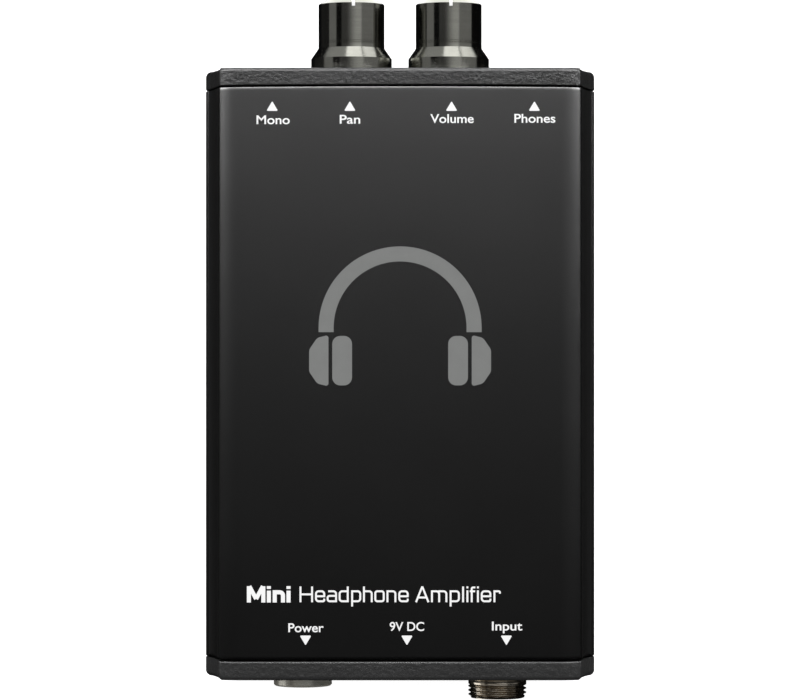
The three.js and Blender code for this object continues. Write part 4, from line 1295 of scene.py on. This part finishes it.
def lettering(base_y, letters, cap, xh, desc, w):
    """letters: (character, left edge, right edge) in millimetres. Each letter's strokes are joined to one closed mesh."""
    out = []
    for ch, x0, x1 in letters:
        strokes = []
        for k, path in enumerate(letter(ch, x0, x1, cap, xh, desc, w)):
            path = [(p[0], p[1] + base_y) + tuple(p[2:]) for p in path]
            # no two strokes end at the same height, which keeps the join clean
            strokes.append(raw("stroke", prism(ribbon(path, w), FACE_Z - 0.01 - 0.0006 * k, FACE_Z + 0.02 + 0.0006 * k, 2)))
        if len(strokes) > 1:
            carve(strokes[0], *strokes[1:], op="UNION")
        out.append(strokes[0].data)
        bpy.data.objects.remove(strokes[0])
    return out


def face_x(c):
    return (240 + c / 6 - 400) / 4.7137 - 0.02


word = [("H", 357, 438), ("e", 450, 511), ("a", 520, 582), ("d", 592, 652), ("p", 667, 727), ("h", 738, 796), ("o", 806, 868), ("n", 879, 938), ("e", 950, 1012),
        ("A", 1051, 1136), ("m", 1146, 1244), ("p", 1258, 1319), ("l", 1331, 1346), ("i", 1358, 1371), ("f", 1382, 1412), ("i", 1421, 1434), ("e", 1445, 1508), ("r", 1521, 1565)]
bold = [("M", 41, 152), ("i", 160, 186), ("n", 196, 270), ("i", 278, 304)]
BASELINE = (350 - 602.25) / 4.7137 + 0.06
printed("printing_title", lettering(BASELINE, [(c, face_x(a), face_x(b)) for c, a, b in word], 3.33, 2.52, 0.9, 0.4)
        + lettering(BASELINE - 0.06, [(c, face_x(a), face_x(b)) for c, a, b in bold], 3.45, 2.6, 0.9, 0.86), M_WHITE)


def emblem():
    """A plain headphone pictogram: a headband and two ear cups."""
    cy = 4.75
    shapes = []
    r0, r1 = 14.1, 17.3
    drop = -0.9
    a = [(r1 * math.cos(rad(t)), cy + r1 * math.sin(rad(t))) for t in [180 * i / 64 for i in range(65)]]
    b = [(r0 * math.cos(rad(t)), cy + r0 * math.sin(rad(t))) for t in [180 - 180 * i / 64 for i in range(65)]]
    shapes.append([(r1, cy + drop)] + a + [(-r1, cy + drop), (-r0, cy + drop)] + b + [(r0, cy + drop)])
    for s in (-1, 1):
        x0, x1 = sorted((s * 10.2, s * 14.4))
        shapes.append(round_rect(x0, x1, cy - 12.2, cy - 1.7, 1.7, 8))
        x0, x1 = sorted((s * 15.2, s * 19.2))
        outer = rounded([(s * 15.2, cy - 7.0), (s * 15.2, cy - 1.5, 0.5), (s * 17.6, cy - 2.1, 1.6), (s * 19.3, cy - 4.6, 1.6), (s * 19.3, cy - 9.3, 1.6), (s * 17.6, cy - 11.8, 1.6), (s * 15.2, cy - 12.4, 0.5), (s * 15.2, cy - 7.0)], 6)
        shapes.append(outer[:-1])
    return [flat_shape(o) for o in shapes]


printed("emblem_headphones", emblem(), M_GREY)


# --------------------------------------------- carried-over parts inside the case
INSIDE = {
    "main_board": (M_BOARD, 0.1), "jack_board": (M_BOARD, 0.1), "board_ribbon": (M_RIBBON, 0.12), "main_board_header": (M_PLASTIC, 0.15),
    "amplifier_chip_1": (M_CHIP, 0.12), "amplifier_chip_2": (M_CHIP, 0.12), "capacitor_1": (M_CAN, 0.15), "capacitor_2": (M_CAN, 0.15), "capacitor_3": (M_CAN, 0.15),
    "battery_9v": (M_CELL, 0.25), "battery_snap": (M_PLASTIC, 0.4), "battery_tray": (M_PLASTIC, 0.2),
    "pan_pot_body": (M_STEEL, 0.15), "volume_pot_body": (M_STEEL, 0.15), "pan_pot_shaft": (M_STEEL, 0.1), "volume_pot_shaft": (M_STEEL, 0.1),
    "pan_pot_nut": (M_NICKEL, 0.12), "volume_pot_nut": (M_NICKEL, 0.12), "pan_knob_grub_screw": (M_SCREW, 0.05), "volume_knob_grub_screw": (M_SCREW, 0.05),
    "mono_switch_body": (M_PLASTIC, 0.2), "power_switch_body": (M_PLASTIC, 0.3), "dc_jack_nut": (M_NICKEL, 0.12), "input_connector_nut": (M_NICKEL, 0.15),
}
for i in (1, 2, 3, 4):
    INSIDE["board_screw_%d" % i] = (M_STEEL, 0.08)
for name, (mat, width) in INSIDE.items():
    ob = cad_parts[name]
    if not ob.data.materials:
        ob.data.materials.append(mat)
    for i in range(len(ob.material_slots)):
        ob.material_slots[i].material = mat
    b = ob.modifiers.new("edge", "BEVEL")
    b.width = width * MM
    b.segments = 2
    b.limit_method = "ANGLE"
    b.angle_limit = rad(35)


# ------------------------------------------------------------ floor and light
def build_floor():
    me = bpy.data.meshes.new("floor")
    bm = bmesh.new()
    bmesh.ops.create_grid(bm, x_segments=24, y_segments=24, size=4.0)
    for v in bm.verts:
        v.co.z = -0.00002
    bm.to_mesh(me)
    bm.free()
    ob = bpy.data.objects.new("floor", me)
    bpy.context.scene.collection.objects.link(ob)
    m, nt, b = material("floor_white")
    v = coords(nt)
    cloud = noise(nt, v, 3, 3, 0.5)
    nt.links.new(blend(nt, cloud, (0.93, 0.93, 0.93), (0.95, 0.95, 0.95)), b.inputs["Base Color"])
    b.inputs["Roughness"].default_value = 0.9
    b.inputs["Specular IOR Level"].default_value = 0.1
    b.inputs["Emission Color"].default_value = (1, 1, 1, 1)
    b.inputs["Emission Strength"].default_value = 0.75
    clear = nt.nodes.new("ShaderNodeBsdfTransparent")
    mix = nt.nodes.new("ShaderNodeMixShader")
    side = nt.nodes.new("ShaderNodeNewGeometry")
    end = [n for n in nt.nodes if n.bl_idname == "ShaderNodeOutputMaterial"][0]
    nt.links.new(side.outputs["Backfacing"], mix.inputs["Fac"])
    nt.links.new(b.outputs[0], mix.inputs[1])
    nt.links.new(clear.outputs[0], mix.inputs[2])
    nt.links.new(mix.outputs[0], end.inputs[0])
    me.materials.append(m)
    ob.visible_glossy = False
    ob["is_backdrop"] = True
    return ob


build_floor()


def panel(name, loc, target, size, power, diffuse=True, beam=180.0):
    """A rectangular soft light; it is seen in reflections."""
    li = bpy.data.lights.new(name, "AREA")
    li.shape = "RECTANGLE"
    li.size, li.size_y = size
    li.energy = power
    li.spread = rad(beam)
    ob = bpy.data.objects.new(name, li)
    bpy.context.scene.collection.objects.link(ob)
    ob.location = loc
    d = Vector(target) - Vector(loc)
    ob.rotation_euler = d.to_track_quat("-Z", "Y").to_euler()
    ob.visible_camera = False
    if not diffuse:
        ob.visible_diffuse = False
    return ob


AIM = (0.0, 0.03, 0.03)
# two soft strips low over the knobs' end grade the face from light to dark
strips = [panel("strip_left", (-0.19, 0.185, 0.245), AIM, (0.18, 0.09), 0.37, diffuse=False, beam=50),
          panel("strip_right", (0.19, 0.185, 0.245), AIM, (0.18, 0.09), 0.37, diffuse=False, beam=50),
          panel("strip_middle", (0.0, 0.155, 0.215), AIM, (0.20, 0.07), 0.214, diffuse=False, beam=50)]
lit = bpy.data.collections.new("lit_by_strips")
for name in ("top_cover_shell", "base_tray_shell", "front_cap_casting", "rear_cap_casting", "power_push_cap", "power_trim_ring"):
    lit.objects.link(bpy.data.objects[name])
for ob in strips:
    ob.light_linking.receiver_collection = lit
for target, power, spark in (("power_push_cap", 0.42, 0.25), ("input_threaded_barrel", 0.2, 0.17)):
    only = bpy.data.collections.new("lit_" + target)
    only.objects.link(bpy.data.objects[target])
    for glow in (panel("glow_" + target, (0.0, -0.20, 0.75), (0.0, -0.07, 0.02), (1.2, 0.16), power),
                 panel("spark_" + target, (-0.4, -0.16, 0.02), (0.0, -0.072, 0.02), (0.12, 0.25), spark)):
        glow.light_linking.receiver_collection = only
# what the leaning walls see of the table beside them
for side, x in (("left", -0.0705), ("right", 0.0705)):
    low = panel("table_" + side, (x, -0.004, 0.0005), (x, -0.004, 1.0), (0.018, 0.15), 0.0014, diffuse=False)
    low.light_linking.receiver_collection = lit
panel("sky", (0.0, 1.0, 1.3), (0.0, 0.0, 0.0), (1.4, 1.0), 24.0)
bpy.data.objects["sky"].visible_glossy = False


# The world lights the floor and matt surfaces evenly. Polished surfaces see soft boxes in it, by direction.
world = bpy.data.worlds.new("studio")
bpy.context.scene.world = world
world.use_nodes = True
world.cycles.sampling_method = "NONE"
wt = world.node_tree
wt.nodes.clear()
tc = wt.nodes.new("ShaderNodeTexCoord")
sep = wt.nodes.new("ShaderNodeSeparateXYZ")
wt.links.new(tc.outputs["Generated"], sep.inputs[0])
DX, DY, DZ = sep.outputs
DEG = 180.0 / math.pi
roll = maths(wt, "MULTIPLY", maths(wt, "ARCTAN2", DX, DZ), DEG)       # about the long axis: 0 is up, 90 is right
along = maths(wt, "MULTIPLY", maths(wt, "ARCSINE", DY), DEG)          # towards the knobs' end
turn = maths(wt, "MULTIPLY", maths(wt, "ARCTAN2", DX, DY), DEG)       # round the horizon from the knobs' end
rise = maths(wt, "MULTIPLY", maths(wt, "ARCSINE", DZ), DEG)           # above the horizon


def step(x, edge, soft):
    n = wt.nodes.new("ShaderNodeMapRange")
    n.interpolation_type = "SMOOTHSTEP"
    n.inputs["From Min"].default_value = edge - soft
    n.inputs["From Max"].default_value = edge + soft
    wt.links.new(x, n.inputs["Value"])
    return n.outputs["Result"]


def window(x, lo, hi, soft_lo=2.0, soft_hi=None):
    return maths(wt, "SUBTRACT", step(x, lo, soft_lo), step(x, hi, soft_lo if soft_hi is None else soft_hi))


def box(level, *windows):
    out = windows[0]
    for w in windows[1:]:
        out = maths(wt, "MULTIPLY", out, w)
    return maths(wt, "MULTIPLY", out, level)


SKY = [
    box(0.27, window(roll, -84, -54, 1.5), window(along, -60, 40, 6)),
    box(0.11, window(roll, -34, 36, 1.5, 2.5), window(along, 3.5, 60, 2.5)),
    box(0.80, window(roll, 2, 36, 20, 2.5), window(along, 3.5, 60, 2.5)),
    box(0.42, window(roll, 36, 86, 1.5), window(along, 3.5, 60, 2.5)),
    box(0.02, window(roll, -130, -86, 5), window(along, -60, 40, 6)),
    box(0.10, window(roll, -72, 80, 10), window(along, -60, -4.8, 2, 0.4)),
    # boxes beyond the knobs' end
    box(2.2, window(turn, -10, 20.8, 1.0, 0.3), window(rise, -20, 46, 6), step(along, 42, 4)),
    box(1.7, window(turn, 23.2, 43, 0.3, 3.0), window(rise, -20, 46, 6), step(along, 42, 4)),
    box(0.50, window(turn, -43, -10, 3.0, 1.0), window(rise, -20, 46, 6), step(along, 42, 4)),
    box(2.3, window(turn, -29, 29, 4), window(rise, -72, -20, 5), step(along, 12, 5)),
]
total = SKY[0]
for b in SKY[1:]:
    total = maths(wt, "ADD", total, b)
total = maths(wt, "ADD", total, 0.006)

out = wt.nodes.new("ShaderNodeOutputWorld")
bright = wt.nodes.new("ShaderNodeBackground")
bright.inputs["Color"].default_value = (1, 1, 1, 1)
bright.inputs["Strength"].default_value = 0.48
seen = wt.nodes.new("ShaderNodeBackground")
seen.inputs["Color"].default_value = (1, 1, 0.995, 1)
wt.links.new(total, seen.inputs["Strength"])
path = wt.nodes.new("ShaderNodeLightPath")
mix = wt.nodes.new("ShaderNodeMixShader")
wt.links.new(path.outputs["Is Glossy Ray"], mix.inputs["Fac"])
wt.links.new(bright.outputs[0], mix.inputs[1])
wt.links.new(seen.outputs[0], mix.inputs[2])
wt.links.new(mix.outputs[0], out.inputs["Surface"])

# --------------------------------------------------------------------- camera
cam_data = bpy.data.cameras.new("camera")
cam_data.sensor_width = 36.0
cam_data.lens = 166.9
cam_data.clip_start = 0.01
cam_data.clip_end = 20.0
cam = bpy.data.objects.new("camera", cam_data)
bpy.context.scene.collection.objects.link(cam)
cam.location = (-0.00002, 0.00006, FACE_Z * MM + 0.787)
cam.rotation_euler = (0.0, 0.0, 0.0)
bpy.context.scene.camera = cam
bpy.context.scene.view_settings.view_transform = "Standard"
bpy.context.scene.view_settings.look = "None"
bpy.context.scene.view_settings.exposure = 0.0
bpy.context.scene.view_settings.gamma = 1.0

lo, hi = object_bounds()
